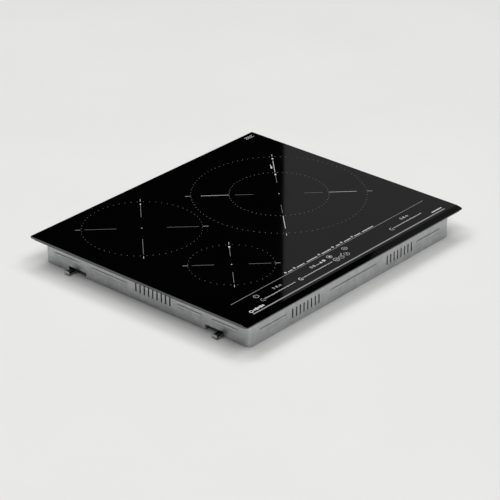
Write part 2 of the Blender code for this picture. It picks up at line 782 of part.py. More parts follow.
def make_power_stage(side, label):
    """Insulating tray, inverter board, heatsink, capacitors and choke of one side."""
    x0, x1 = BOARD_X[0] - TRAY_MARGIN, BOARD_X[1] + TRAY_MARGIN
    y0, y1 = BOARD_Y[0] - TRAY_MARGIN, BOARD_Y[1] + TRAY_MARGIN
    deck = FLOOR_TOP + PLASTIC
    rim = BOARD_BOTTOM
    shape = boxes([((x0, y0, FLOOR_TOP), (x1, y1, rim))])
    insulator = add_part(f"board_insulator_{label}", mirrored(shape, side), "dark_plastic")
    inner = ((x0 + PLASTIC, y0 + PLASTIC, deck), (x1 - PLASTIC, y1 - PLASTIC, rim + 0.01))
    tool = add_part(f"insulator_{label}_tool", mirrored(boxes([inner]), side), "dark_plastic")
    combine(insulator, tool, "DIFFERENCE")
    posts = bmesh.new()
    for x in (BOARD_X[0] + POST_INSET, BOARD_X[1] - POST_INSET):
        for y in (BOARD_Y[0] + POST_INSET, BOARD_Y[1] - POST_INSET):
            turned(posts, ((0.004, deck - 0.0005), (0.004, BOARD_BOTTOM - GAP)), 12, (x, y))
    tool = add_part(f"posts_{label}_tool", mirrored(posts, side), "dark_plastic")
    combine(insulator, tool, "UNION")

    low = (BOARD_X[0], BOARD_Y[0], BOARD_BOTTOM)
    high = (BOARD_X[1], BOARD_Y[1], BOARD_TOP)
    board = mirrored(boxes([(low, high)]), side)
    add_part(f"power_board_{label}", board, "circuit_board")

    seat = BOARD_TOP + GAP
    left, right = HEATSINK_X
    comb = [(left, seat), (right, seat)]
    fin_pitch = (right - left - FIN) / (HEATSINK_FINS - 1)
    for index in reversed(range(HEATSINK_FINS)):
        a = left + index * fin_pitch
        comb += [(a + FIN, seat + HEATSINK_HEIGHT), (a, seat + HEATSINK_HEIGHT)]
        if index:
            comb += [(a, seat + HEATSINK_BASE), (a - fin_pitch + FIN, seat + HEATSINK_BASE)]
    heatsink = prism(bmesh.new(), comb, *HEATSINK_Y, "Y")
    add_part(f"heatsink_{label}", mirrored(heatsink, side), "aluminium")

    for name, (corner, size) in CAPACITORS.items():
        make_capacitor(f"{name}_{label}", corner, size, side)
    make_choke(f"output_choke_{label}", *OUTPUT_CHOKE, side)


def make_capacitor(name, corner, size, side=1):
    """A boxed film capacitor standing on a board, with its edges rounded off."""
    low = (*corner, BOARD_TOP + GAP)
    high = tuple(a + b for a, b in zip(low, size))
    can = add_part(name, mirrored(boxes([(low, high)]), side), "capacitor")
    bevel = can.modifiers.new("rounded edges", "BEVEL")
    bevel.width = CAPACITOR_EDGE
    bevel.segments = 1


def make_choke(name, centre, inner, outer, height, side=1):
    """A wound ring lying on a board, with its outer edges cut back."""
    low = BOARD_TOP + GAP
    high = low + height
    cut = 0.002
    profile = [
        (inner, low),
        (outer - cut, low),
        (outer, low + cut),
        (outer, high - cut),
        (outer - cut, high),
        (inner, high),
    ]
    choke = turned(bmesh.new(), profile, 20, centre, closed=True)
    add_part(name, mirrored(choke, side), "copper", is_round=True)


def make_filter():
    """Mains filter board in the middle, with its choke and capacitor."""
    low = (-FILTER_BOARD_X, FILTER_BOARD_Y[0], BOARD_BOTTOM)
    high = (FILTER_BOARD_X, FILTER_BOARD_Y[1], BOARD_TOP)
    add_part("filter_board", boxes([(low, high)]), "circuit_board")
    make_choke("filter_choke", *FILTER_CHOKE)
    make_capacitor("filter_capacitor", *FILTER_CAPACITOR)


def make_controls():
    """Control holder on four legs, its touch board, and the display modules."""
    low = (-CONTROL_X, CONTROL_Y[0], CONTROL_Z[0])
    high = (CONTROL_X, CONTROL_Y[1], CONTROL_Z[1])
    holder = add_part("control_holder", boxes([(low, high)]), "dark_plastic")
    deck = CONTROL_Z[0] + PLASTIC
    low = (-CONTROL_X + PLASTIC, CONTROL_Y[0] + PLASTIC, deck)
    high = (CONTROL_X - PLASTIC, CONTROL_Y[1] - PLASTIC, CONTROL_Z[1] + 0.01)
    tool = add_part("holder_cavity_tool", boxes([(low, high)]), "dark_plastic")
    combine(holder, tool, "DIFFERENCE")
    legs = bmesh.new()
    board_bottom = GLASS_UNDERSIDE - CONTROL_BOARD_DROP
    for x in (-CONTROL_LEG_X, 0.0, CONTROL_LEG_X):
        for y in CONTROL_LEG_Y:
            if x:
                foot = ((0.0045, FLOOR_TOP), (0.0035, CONTROL_Z[0] + PLASTIC / 2))
                turned(legs, foot, 12, (x, y))
            peg = ((0.003, deck - PLASTIC / 3), (0.003, board_bottom - GAP))
            turned(legs, peg, 12, (x, y))
    tool = add_part("holder_leg_tool", legs, "dark_plastic")
    combine(holder, tool, "UNION")

    margin = PLASTIC + GAP
    low = (-CONTROL_X + margin, CONTROL_Y[0] + margin, board_bottom)
    high = (CONTROL_X - margin, CONTROL_Y[1] - margin, board_bottom + CIRCUIT_BOARD)
    add_part("control_board", boxes([(low, high)]), "circuit_board")

    for label, (x, width) in DISPLAYS.items():
        bottom = board_bottom + CIRCUIT_BOARD + GAP
        low = (x - width / 2, DISPLAY_Y - DISPLAY_DEPTH / 2, bottom)
        high = (x + width / 2, DISPLAY_Y + DISPLAY_DEPTH / 2, GLASS_UNDERSIDE - GAP)
        add_part(f"display_{label}", boxes([(low, high)]), "display")


def make_ribbon_cable():
    """Flat cable from under the control holder down to the right inverter board."""
    top = CONTROL_Z[0] - GAP
    level = BOARD_TOP + RIBBON_CLEARANCE
    start_y, bend = RIBBON_START_Y, RIBBON_BEND
    line = [(RIBBON_END_Y, level), (start_y + bend, level)]
    steps = 6
    for step in range(1, steps + 1):
        angle = math.pi / 2 * step / steps
        y = start_y + bend * (1 - math.sin(angle))
        line.append((y, level + bend * (1 - math.cos(angle))))
    line.append((start_y, top))
    outline = thickened(line, RIBBON_THICKNESS)
    low, high = RIBBON_X - RIBBON_WIDTH / 2, RIBBON_X + RIBBON_WIDTH / 2
    add_part("ribbon_cable", prism(bmesh.new(), outline, low, high, "X"), "dark_plastic")


def make_clamp(side, end, label):
    """A swivel clamp swung out under the worktop, and the screw it turns on."""
    x, y = side * CLAMP_X, end * CLAMP_Y
    half = CLAMP_WIDTH / 2
    tip = CLAMP_X + CLAMP_ARM
    outline = [(tip, end * CLAMP_Y - half), (tip, end * CLAMP_Y + half)]
    for step in range(9):
        angle = math.pi / 2 + math.pi * step / 8
        outline.append((CLAMP_X + half * math.cos(angle), end * CLAMP_Y + half * math.sin(angle)))
    plate = prism(bmesh.new(), outline, CLAMP_BOTTOM, CLAMP_BOTTOM + CLAMP_SHEET, "Z")
    clamp = add_part(f"swivel_clamp_{label}", mirrored(plate, side), "spring_steel", (x, y, 0.0))
    low = (tip - CLAMP_SHEET, end * CLAMP_Y - half + 0.0005, CLAMP_BOTTOM + 0.0005)
    high = (tip - GAP, end * CLAMP_Y + half - 0.0005, CLAMP_TIP)
    leg = mirrored(boxes([(low, high)]), side)
    combine(clamp, add_part(f"clamp_leg_{label}_tool", leg, "spring_steel"), "UNION")
    radius = SCREW_RADIUS + GAP
    eye = turned(bmesh.new(), ((radius, 0.0), (radius, 0.01)), 16, (x, y))
    combine(clamp, add_part(f"clamp_eye_{label}_tool", eye, "spring_steel"), "DIFFERENCE")

    head_top = CLAMP_BOTTOM - GAP
    profile = (
        (SCREW_HEAD - 0.0006, 0.0006),
        (SCREW_HEAD, 0.0012),
        (SCREW_HEAD, head_top),
        (SCREW_RADIUS, head_top),
        (SCREW_RADIUS, POCKET_HEIGHT + STEEL + 0.004),
    )
    screw = turned(bmesh.new(), profile, 16, (x, y))
    add_part(f"clamp_screw_{label}", screw, "spring_steel", is_round=True)


for item in list(bpy.data.objects):
    bpy.data.objects.remove(item, do_unlink=True)
MATERIALS = {name: make_material(name) for name in FINISHES}

make_glass()
make_seals_and_frame()
make_tray()
make_terminal_box()
for zone_name in ZONES:
    make_coil(zone_name)
make_coil_plate("left", -PLATE_SIDE, PLATE_SPLIT - PLATE_GAP / 2, ("rear_left", "front_left"))
make_coil_plate("right", PLATE_SPLIT + PLATE_GAP / 2, PLATE_SIDE, ("right",))
for side_sign, side_name in ((-1, "left"), (1, "right")):
    make_power_stage(side_sign, side_name)
    make_fan(side_sign, side_name)
    spring_x = side_sign * SPRING_X
    make_lift_spring(f"lift_spring_{side_name}_front", (spring_x, SPRING_Y[0]), "Y")
    make_lift_spring(f"lift_spring_{side_name}_rear", (spring_x, SPRING_Y[1]), "X")
    for end_sign, end_name in ((-1, "front"), (1, "rear")):
        make_clamp(side_sign, end_sign, f"{end_name}_{side_name}")
make_filter()
make_controls()
make_ribbon_cable()
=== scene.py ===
"""Looks of the built-in induction hob: black glass, printed marks, galvanised casing.

X runs to the right, Y to the back and Z up, from the middle of the casing's base.
Blender works in metres. Places and sizes of pieces are given here in millimetres,
unless a comment says otherwise.
"""
import json
import math

import bmesh
import bpy
from mathutils import Matrix, Vector


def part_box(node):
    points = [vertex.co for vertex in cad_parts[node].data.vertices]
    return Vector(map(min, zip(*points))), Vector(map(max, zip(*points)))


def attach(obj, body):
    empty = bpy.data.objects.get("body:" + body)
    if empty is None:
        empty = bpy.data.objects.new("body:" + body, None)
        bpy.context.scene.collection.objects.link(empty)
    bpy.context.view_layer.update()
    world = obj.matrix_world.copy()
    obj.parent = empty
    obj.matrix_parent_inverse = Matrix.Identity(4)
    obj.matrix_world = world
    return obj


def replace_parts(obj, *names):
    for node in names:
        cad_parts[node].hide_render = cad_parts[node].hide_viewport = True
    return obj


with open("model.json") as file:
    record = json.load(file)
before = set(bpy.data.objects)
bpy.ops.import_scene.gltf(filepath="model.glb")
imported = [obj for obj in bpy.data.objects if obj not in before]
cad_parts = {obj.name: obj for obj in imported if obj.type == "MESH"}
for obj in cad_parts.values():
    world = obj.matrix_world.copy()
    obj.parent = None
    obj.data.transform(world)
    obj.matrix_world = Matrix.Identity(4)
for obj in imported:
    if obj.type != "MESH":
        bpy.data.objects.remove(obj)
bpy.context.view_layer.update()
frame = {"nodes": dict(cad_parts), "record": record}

MM = 0.001
UP = (0.0, 0.0, 1.0)
NODES = frame["nodes"]
NODE_SLOTS = {part["node"]: part["material_slot"] for part in frame["record"]["subparts"]}
BODIES = frame["record"]["behaviour"]["bodies"]
NODE_BODIES = {node: body for body, nodes in BODIES.items() for node in nodes}

# Camera, floor, lamps and mirrored cards, in metres
CAMERA_PLACE = (-2.7869, -2.4265, 1.8862)
CAMERA_TURN = 0.8547
CAMERA_DIP = 0.4726
CAMERA_LENS = 165.08
SENSOR = 36.0
FLOOR_HALF = 40.0
FLOOR_LOW, FLOOR_HIGH = -0.02, -0.00002
LAMP_COUNT = 6
LAMP_DISTANCE = 7.5
LAMP_RISE = math.radians(62)
LAMP_SIZE = 2.87
LAMP_POWER = 126.5
CARD_DISTANCE = 7.0
CARD_WIDTH = 5.0
CARD_LOW, CARD_HIGH, CARD_TOP = (math.radians(angle) for angle in (14, 34.5, 50))
WORLD_COLOUR = (0.003, 0.003, 0.003, 1.0)

# CAD nodes that are thin sheets with small cut-outs, and those that get a shape of their own
CRISP_SHEETS = ("bottom_tray", "terminal_box_cover")
OWN_SHAPES = ("glass_top", "winding_", "coil_carrier_", "output_choke_", "filter_choke")

# Rounding of edges, in metres, and what tells flat faces, sharp edges and level faces
SAME_PLACE = 0.000002
ROUNDING = 0.0003
FINE_ROUNDING = 0.0002
FLAT_ANGLE = math.radians(0.6)
EDGE_ANGLE = math.radians(30)
GLASS_EDGE_ANGLE = math.radians(40)
LEVEL = 0.9

# Casing hardware, and the sheet of a clamp with its screw's x, to either side
CASING_HALF = (276.0, 241.0)
WALL_SCREW_Z = 42.6
WALL_SCREW_RADIUS = 3.1
BEAD_Z = 23.0
BEAD_WIDTH = 7.0
BEAD_HEIGHT = 1.1
BEAD_ROOT = 0.3
CLAMP_SHEET = 1.5
CLAMP_PIVOT = 262.0

# Coils: zone, windings with their inner radius, rings of ferrite bars (count, near, far),
# the angle at which the lead leaves, and the lead's way down to a terminal
COIL_TERMINALS = ((110.0, -28.0), (110.0, -14.0))
COILS = (
    (
        "rear_left", (("winding_rear_left", 24.0),), ((8, 34.0, 92.0),), -50.0,
        (
            (-66.0, 30.0, 42.0), (-60.0, 22.0, 38.0), (-63.0, 18.0, 34.0),
            (-92.0, 0.0, 31.0), (-110.0, -12.0, 21.0), (-110.0, -14.0, 14.2),
        ),
    ),
    (
        "front_left", (("winding_front_left", 20.0),), ((6, 27.0, 61.0),), 51.0,
        (
            (-74.0, 6.0, 43.0), (-62.0, 17.0, 39.0), (-66.0, 10.0, 34.0),
            (-96.0, -18.0, 29.0), (-109.0, -27.0, 21.0), (-110.0, -28.0, 14.2),
        ),
    ),
    (
        "right", (("winding_right_inner", 26.0), ("winding_right_outer", 94.0)),
        ((8, 34.0, 80.0), (12, 99.0, 140.0)), -51.0,
        (
            (234.0, -104.0, 43.0), (246.0, -119.0, 41.0), (250.5, -126.0, 34.0),
            (247.0, -124.0, 22.0), (225.0, -108.0, 9.0), (170.0, -76.0, 4.5),
            (125.0, -50.0, 7.0), (112.0, -36.0, 15.0), (110.0, -28.0, 14.2),
        ),
    ),
)
LITZ_STEP = 3.4
LITZ_LAY = 45.0
LEAD_RADIUS = 1.5

# Boards: the outline of half a transformer core, the slot of each group of small parts, and
# the colours of the wires from the terminals to the filter board
CORE_HALF = (
    (-10.0, 0.1), (-7.0, 0.1), (-7.0, 5.0), (7.0, 5.0),
    (7.0, 0.1), (10.0, 0.1), (10.0, 8.0), (-10.0, 8.0),
)
BOARD_SLOTS = {
    "switches": "dark_plastic",
    "legs": "spring_steel",
    "relays": "dark_plastic",
    "headers": "white_plastic",
    "sockets": "white_plastic",
    "small_parts": "dark_plastic",
    "cans": "dark_plastic",
    "cores": "ferrite",
    "tapes": "capacitor",
}
MAINS_WIRES = ("brown", "black", "blue", "blue", "green")

# Glass, in metres
GLASS_LOW, GLASS_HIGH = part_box("glass_top")
PRINT_DEPTH = 0.00005
GLASS_TOP = GLASS_HIGH.z - PRINT_DEPTH
BEVEL_DEPTH = 0.014
BEVEL_DROP = 0.0025
BEVEL_SLOPE = math.atan2(BEVEL_DROP, BEVEL_DEPTH)
FRONT_CORNER = 0.005
REAR_CORNER = 0.002
ARRIS = 0.0005

# Cooking zones: name, middle, radius and dots of each dotted circle, radius of a dot, inset and
# width of the short thick stroke, near end, far end and width of the diagonal lines, and the
# ends of the stubs outside the circle
ZONES = (
    (
        "rear_left", (-147.0, 127.0), ((108.5, 60),), 0.55, (10.5, 1.6),
        ((45.0, 102.0, 0.56),), (109.5, 119.0),
    ),
    (
        "front_left", (-147.0, -87.0), ((76.0, 40),), 0.55, (9.0, 3.2),
        ((30.0, 69.0, 0.6),), (75.5, 85.0),
    ),
    (
        "right", (122.5, 34.5), ((162.5, 96), (92.0, 64)), 0.62, (9.0, 3.2),
        ((92.5, 144.0, 0.95), (47.0, 81.0, 0.53)), (163.5, 173.0),
    ),
)
DIAGONALS = (45, 135, 225, 315)
STROKE_LENGTH = 5.0
STROKE_GAP = 1.0
STUB_WIDTH = 0.7
DIM_WIDTH = 0.6

# Touch control: middles of the keys, y of the sliders and of the legend, and the x of the
# legend's symbols, each with the first and last x of the dashes after it
TOUCH_SPOTS = {
    "power": (-208.2, -196.2),
    "lock": (-13.3, -196.3),
    "pause": (28.9, -196.3),
    "less": (-13.3, -212.3),
    "timer": (0.0, -212.8),
    "more": (15.0, -212.3),
}
SLIDER_Y = -212.3
LEGEND_Y = -178.2
LEGENDS = (
    (-109.5, -104.0, -92.0),
    (-86.0, -81.0, -60.0),
    (None, -54.0, -26.0),
    (-19.0, -13.0, 12.0),
    (19.0, 26.0, 37.0),
    (43.0, 49.0, 68.0),
    (73.0, 78.0, 95.0),
    (None, 100.0, 131.0),
)


# ---------------------------------------------------------------- materials

class Shader:
    """A material's node tree, with short ways to add the nodes used here."""

    def __init__(self, name, roughness, metallic=0.0, **sockets):
        self.material = bpy.data.materials.new(name)
        self.material.use_nodes = True
        self.tree = self.material.node_tree
        self.main = self.tree.nodes["Principled BSDF"]
        self.set(self.main, Roughness=roughness, Metallic=metallic, **sockets)
        self.place = self.tree.nodes.new("ShaderNodeTexCoord").outputs["Object"]

    def set(self, node, **sockets):
        for socket, value in sockets.items():
            node.inputs[socket.replace("_", " ")].default_value = value

    def link(self, source, node, socket):
        self.tree.links.new(source, node.inputs[socket])

    def add(self, kind, source, socket, **sockets):
        """Add a node, with a source linked into one socket and values set on others."""
        node = self.tree.nodes.new(f"ShaderNode{kind}")
        self.set(node, **sockets)
        self.link(source, node, socket)
        return node

    def stretched(self, scale, turn=(0.0, 0.0, 0.0)):
        """Object coordinates scaled per axis and turned, for grain that runs one way."""
        return self.add("Mapping", self.place, "Vector", Scale=scale, Rotation=turn).outputs["Vector"]

    def noise(self, scale, detail=3.0, place=None):
        node = self.add("TexNoise", place or self.place, "Vector", Scale=scale, Detail=detail)
        return node.outputs["Fac"]

    def cells(self, scale, output="Color", feature="F1"):
        node = self.add("TexVoronoi", self.place, "Vector", Scale=scale)
        node.feature = feature
        return node.outputs[output]

    def waves(self, scale, direction="X", distortion=0.0):
        node = self.add("TexWave", self.place, "Vector", Scale=scale, Distortion=distortion)
        node.bands_direction = direction
        return node.outputs["Fac"]

    def bricks(self, scale, width, row, gap, place=None):
        """Straight lanes with staggered cross lines: 1 on the lines, 0 between them."""
        sizes = {"Scale": scale, "Brick_Width": width, "Row_Height": row, "Mortar_Size": gap}
        node = self.add("TexBrick", place or self.place, "Vector", **sizes)
        node.offset = 0.37
        node.offset_frequency = 3
        node.squash = 0.6
        node.squash_frequency = 4
        return node.outputs["Fac"]

    def mix(self, factor, first, second):
        """The first colour where the factor is 0, the second where it is 1."""
        node = self.tree.nodes.new("ShaderNodeMix")
        node.data_type = "RGBA"
        for socket, source in ((0, factor), (6, first), (7, second)):
            self.link(source, node, socket)
        return node.outputs[2]

    def grey(self, colour):
        return self.add("RGBToBW", colour, "Color").outputs["Val"]

    def ramp(self, value, *stops):
        """Colour stops as (place, colour or grey level)."""
        node = self.add("ValToRGB", value, "Fac")
        elements = node.color_ramp.elements
        while len(elements) < len(stops):
            elements.new(0.5)
        for element, (place, colour) in zip(elements, stops):
            element.position = place
            element.color = (*colour, 1.0) if isinstance(colour, tuple) else (colour,) * 3 + (1.0,)
        return node.outputs["Color"]

    def shades(self, value, first, second, start=0.3, end=0.7):
        """A colour that changes from one shade to another as a value goes from start to end."""
        return self.ramp(value, (start, first), (end, second))

    def colour(self, source):
        self.link(source, self.main, "Base Color")
        return self

    def tint(self, value, first, second, start=0.3, end=0.7):
        """Give the surface the colour that shades makes."""
        return self.colour(self.shades(value, first, second, start, end))

    def roughness(self, value, low, high):
        """Roughness that goes from low to high as a value goes from 0 to 1."""
        node = self.add("MapRange", value, "Value", To_Min=low, To_Max=high)
        self.link(node.outputs["Result"], self.main, "Roughness")
        return self

    def bump(self, height, distance):
        """Bumps of a height in metres, on top of those that are there already."""
        node = self.add("Bump", height, "Height", Distance=distance, Strength=1.0)
        if self.main.inputs["Normal"].is_linked:
            self.link(self.main.inputs["Normal"].links[0].from_socket, node, "Normal")
        self.link(node.outputs["Normal"], self.main, "Normal")
        return self


def polished_glass():
    """Black glass-ceramic with the faintest smears in its polish."""
    shader = Shader("polished_black_glass", 0.03, IOR=1.52)
    shader.tint(shader.noise(9.0), 0.0003, (0.0006, 0.0006, 0.0007))
    return shader.roughness(shader.noise(14.0, 5.0), 0.015, 0.05).material


def ground_glass():
    """Ground and lightly polished edge of the glass."""
    shader = Shader("ground_glass_edge", 0.38, IOR=1.5)
    shader.tint(shader.noise(420.0, 4.0), (0.085, 0.09, 0.092), (0.135, 0.14, 0.143), 0.25, 0.8)
    shader.roughness(shader.noise(900.0), 0.3, 0.5)
    return shader.bump(shader.noise(2600.0, 2.0), 0.00004).material


def dimpled_glass():
    """Underside of the glass, with the small dimples that ceramic hobs have."""
    shader = Shader("dimpled_glass_underside", 0.25, IOR=1.5)
    shader.tint(shader.noise(60.0), (0.006, 0.006, 0.007), (0.011, 0.011, 0.012))
    return shader.bump(shader.cells(330.0, "Distance"), 0.0002).material


def enamel(name, level):
    """Fired print of a light or a dim grey, a little uneven."""
    shader = Shader(name, 0.42)
    low, high = level * 0.92, level * 1.08
    shader.tint(shader.noise(700.0, 4.0), low, (high, high, high * 1.02), 0.25, 0.75)
    return shader.bump(shader.noise(3000.0, 2.0), 0.00002).material


def galvanised():
    """Zinc-coated sheet: flat crystal flowers of slightly different greys."""
    shader = Shader("galvanised_steel", 0.36, 0.92)
    spangle = shader.grey(shader.cells(95.0))
    stops = ((0.15, (0.46, 0.47, 0.48)), (0.55, (0.51, 0.52, 0.53)), (0.9, (0.565, 0.57, 0.575)))
    shader.colour(shader.ramp(spangle, *stops)).roughness(spangle, 0.34, 0.46)
    return shader.bump(shader.noise(260.0, 4.0), 0.00006).material


def zinc_plated():
    """Bright plated spring steel with fine rolling lines."""
    shader = Shader("zinc_plated_steel", 0.3, 1.0)
    grain = shader.noise(60.0, 3.0, shader.stretched((1.0, 18.0, 18.0)))
    shader.tint(grain, (0.42, 0.43, 0.45), (0.58, 0.58, 0.57))
    return shader.roughness(grain, 0.2, 0.38).bump(grain, 0.00002).material


def mill_aluminium():
    """Rolled or extruded aluminium with its lines along Y."""
    shader = Shader("mill_aluminium", 0.35, 1.0)
    grain = shader.noise(90.0, 4.0, shader.stretched((16.0, 1.0, 16.0)))
    shader.tint(grain, (0.66, 0.67, 0.68), (0.80, 0.80, 0.81))
    return shader.roughness(grain, 0.26, 0.44).bump(grain, 0.00003).material


def copper_litz():
    """Varnished strands of copper twisted together."""
    shader = Shader("copper_litz", 0.34, 0.85, Coat_Weight=0.3)
    strands = shader.waves(420.0, "DIAGONAL", 1.5)
    stops = ((0.1, (0.26, 0.085, 0.03)), (0.6, (0.66, 0.27, 0.11)), (0.95, (0.78, 0.38, 0.18)))
    shader.colour(shader.ramp(strands, *stops)).roughness(shader.noise(300.0), 0.25, 0.42)
    return shader.bump(strands, 0.00012).material


def enamelled_copper():
    """Solid winding wire under clear enamel."""
    shader = Shader("enamelled_copper", 0.24, 0.9, Coat_Weight=0.5)
    shader.tint(shader.noise(180.0), (0.50, 0.17, 0.06), (0.66, 0.26, 0.10))
    return shader.roughness(shader.noise(700.0), 0.18, 0.32).material


def striped_insulation():
    """Green insulation with yellow stripes, for the earth wire."""
    shader = Shader("green_yellow_insulation", 0.5)
    shader.tint(shader.waves(160.0), (0.02, 0.18, 0.03), (0.62, 0.50, 0.03), 0.45, 0.55)
    return shader.bump(shader.noise(900.0, 2.0), 0.00004).material


def ferrite():
    """Sintered ferrite with a matt, slightly pitted face."""
    shader = Shader("sintered_ferrite", 0.6)
    shader.tint(shader.noise(500.0, 5.0), (0.045, 0.045, 0.05), (0.085, 0.085, 0.09), 0.3, 0.75)
    return shader.bump(shader.noise(1500.0), 0.00008).material


def mica():
    """Pressed mica flakes with a silvery gleam."""
    shader = Shader("pressed_mica", 0.5, Sheen_Weight=0.2)
    flakes = shader.grey(shader.cells(520.0))
    stops = ((0.1, (0.46, 0.42, 0.33)), (0.5, (0.60, 0.56, 0.46)), (0.95, (0.72, 0.69, 0.60)))
    shader.colour(shader.ramp(flakes, *stops)).roughness(flakes, 0.35, 0.6)
    return shader.bump(flakes, 0.00005).material


def moulded(name, dark, light):
    """Moulded plastic with a fine spark-eroded grain."""
    shader = Shader(name, 0.5)
    grain = 1400.0
    shader.tint(shader.noise(120.0, 4.0), dark, light)
    shader.roughness(shader.noise(grain), 0.42, 0.6)
    return shader.bump(shader.noise(grain, 2.0), 0.00005).material


def foam():
    """Closed-cell foam tape."""
    shader = Shader("closed_cell_foam", 0.9)
    cell = shader.cells(1300.0, "Distance")
    return shader.tint(cell, 0.018, 0.05, 0.1).bump(cell, 0.0002).material


def silicone():
    """Cured silicone, smooth with a soft gleam."""
    shader = Shader("cured_silicone", 0.45)
    shader.tint(shader.noise(200.0), (0.025, 0.025, 0.027), (0.04, 0.04, 0.042))
    return shader.bump(shader.noise(350.0), 0.00008).material


def circuit_board():
    """Green solder mask over copper tracks, with tinned pads."""
    shader = Shader("circuit_board", 0.3, Coat_Weight=0.4)
    turned = shader.stretched((1.0, 1.0, 1.0), (0.0, 0.0, math.pi / 2))
    lanes = shader.bricks(150.0, 4.0, 0.36, 0.035)
    crossings = shader.bricks(120.0, 3.0, 0.8, 0.035, turned)
    mask = shader.shades(shader.noise(160.0), (0.012, 0.10, 0.043), (0.017, 0.135, 0.058))
    track = shader.shades(shader.noise(90.0), (0.03, 0.19, 0.08), (0.045, 0.24, 0.10))
    tin = shader.shades(shader.noise(900.0), (0.42, 0.42, 0.40), (0.58, 0.58, 0.55))
    pads = shader.shades(shader.cells(210.0, "Distance"), 1.0, 0.0, 0.10, 0.14)
    tracks = shader.mix(lanes, shader.mix(crossings, mask, track), track)
    shader.colour(shader.mix(pads, tracks, tin)).roughness(shader.noise(400.0), 0.24, 0.38)
    return shader.bump(lanes, 0.00005).bump(crossings, 0.00005).material


def film_capacitor():
    """Box capacitor in pressed epoxy."""
    shader = Shader("film_capacitor_case", 0.35, Coat_Weight=0.2)
    shader.tint(shader.noise(160.0, 4.0), (0.42, 0.22, 0.03), (0.52, 0.29, 0.05))
    return shader.bump(shader.noise(900.0), 0.00005).material


def display_window():
    """Dark red tinted window of a display, with the grid of cells behind it."""
    shader = Shader("display_window", 0.12)
    grid = shader.cells(620.0, "Distance", "DISTANCE_TO_EDGE")
    shader.tint(grid, (0.02, 0.006, 0.006), (0.05, 0.01, 0.009), 0.05, 0.5)
    return shader.roughness(shader.noise(500.0), 0.08, 0.2).material


def ribbon():
    """Grey ribbon of parallel insulated wires."""
    shader = Shader("ribbon_wires", 0.5)
    wires = shader.waves(390.0)
    shader.tint(wires, (0.22, 0.22, 0.23), (0.40, 0.40, 0.42), 0.1)
    return shader.bump(wires, 0.0002).material


def pale_floor():
    """Plain pale studio floor."""
    shader = Shader("pale_floor", 0.6)
    return shader.tint(shader.noise(3.0), (0.70, 0.70, 0.69), (0.72, 0.72, 0.71)).material


FINISHES = {
    "black_glass": polished_glass(),
    "marking": enamel("light_enamel_print", 0.62),
    "foam_seal": foam(),
    "silicone": silicone(),
    "casing_steel": galvanised(),
    "spring_steel": zinc_plated(),
    "aluminium": mill_aluminium(),
    "copper_litz": copper_litz(),
    "ferrite": ferrite(),
    "mica": mica(),
    "dark_plastic": moulded("dark_plastic", (0.018, 0.018, 0.019), (0.032, 0.032, 0.033)),
    "white_plastic": moulded("white_plastic", (0.66, 0.66, 0.63), (0.74, 0.74, 0.71)),
    "circuit_board": circuit_board(),
    "capacitor": film_capacitor(),
    "display": display_window(),
    "ribbon": ribbon(),
}
DIM_PRINT = enamel("dim_enamel_print", 0.26)
ENAMELLED_COPPER = enamelled_copper()
INSULATION = {
    "red": moulded("red_silicone_insulation", (0.25, 0.02, 0.015), (0.32, 0.035, 0.025)),
    "brown": moulded("brown_insulation", (0.07, 0.028, 0.012), (0.10, 0.04, 0.018)),
    "black": moulded("black_insulation", (0.016, 0.016, 0.016), (0.028, 0.028, 0.028)),
    "blue": moulded("blue_insulation", (0.015, 0.06, 0.26), (0.022, 0.085, 0.34)),
    "green": striped_insulation(),
}


# ---------------------------------------------------------------- making pieces

def mesh_of(shape, name):
    """A mesh made from a shape, which is used up."""
    mesh = bpy.data.meshes.new(name)
    shape.to_mesh(mesh)
    shape.free()
    return mesh


def placed(name, data):
    """A new object in the scene that shows a mesh, a lamp or a camera."""
    item = bpy.data.objects.new(name, data)
    bpy.context.scene.collection.objects.link(item)
    return item


def add_piece(name, shape, slot, body="casing", materials=None, smooth_angle=35):
    """Turn a shape into a piece that rides on a body."""
    mesh = mesh_of(shape, name)
    for material in materials or (FINISHES[slot],):
        mesh.materials.append(material)
    if smooth_angle:
        mesh.shade_smooth()
        mesh.set_sharp_from_angle(angle=math.radians(smooth_angle))
    piece = placed(name, mesh)
    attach(piece, body)
    return piece


def round_edges(shape, edges, size, segments=2):
    bmesh.ops.bevel(shape, geom=edges, offset=size, segments=segments, profile=0.5, affect="EDGES")


def soften(shape, rounding=ROUNDING):
    """Round the sharp edges of a shape a little, by a size in metres."""
    shape.normal_update()
    round_edges(shape, [edge for edge in shape.edges if edge.calc_face_angle(0.0) > EDGE_ANGLE], rounding)
    return shape


def copied(node):
    """The shape of a CAD node, with its flat faces whole again."""
    shape = bmesh.new()
    shape.from_mesh(NODES[node].data)
    bmesh.ops.remove_doubles(shape, verts=shape.verts, dist=SAME_PLACE)
    bmesh.ops.dissolve_limit(shape, angle_limit=FLAT_ANGLE, verts=shape.verts, edges=shape.edges)
    return shape


def refine(node, shape=None):
    """Stand a shape, or else a copy of the node, in a CAD node's place, with rounded edges.

    Thin sheets with small cut-outs keep their crisp edges. Large flat faces keep their own
    normals where they meet rounded edges.
    """
    shape = shape or copied(node)
    if node not in CRISP_SHEETS:
        low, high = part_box(node)
        soften(shape, min(ROUNDING, min(high - low) / 4))
    piece = add_piece(f"fine_{node}", shape, NODE_SLOTS[node], NODE_BODIES[node])
    evened = piece.modifiers.new("even_shading", "WEIGHTED_NORMAL")
    evened.keep_sharp = True
    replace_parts(piece, node)


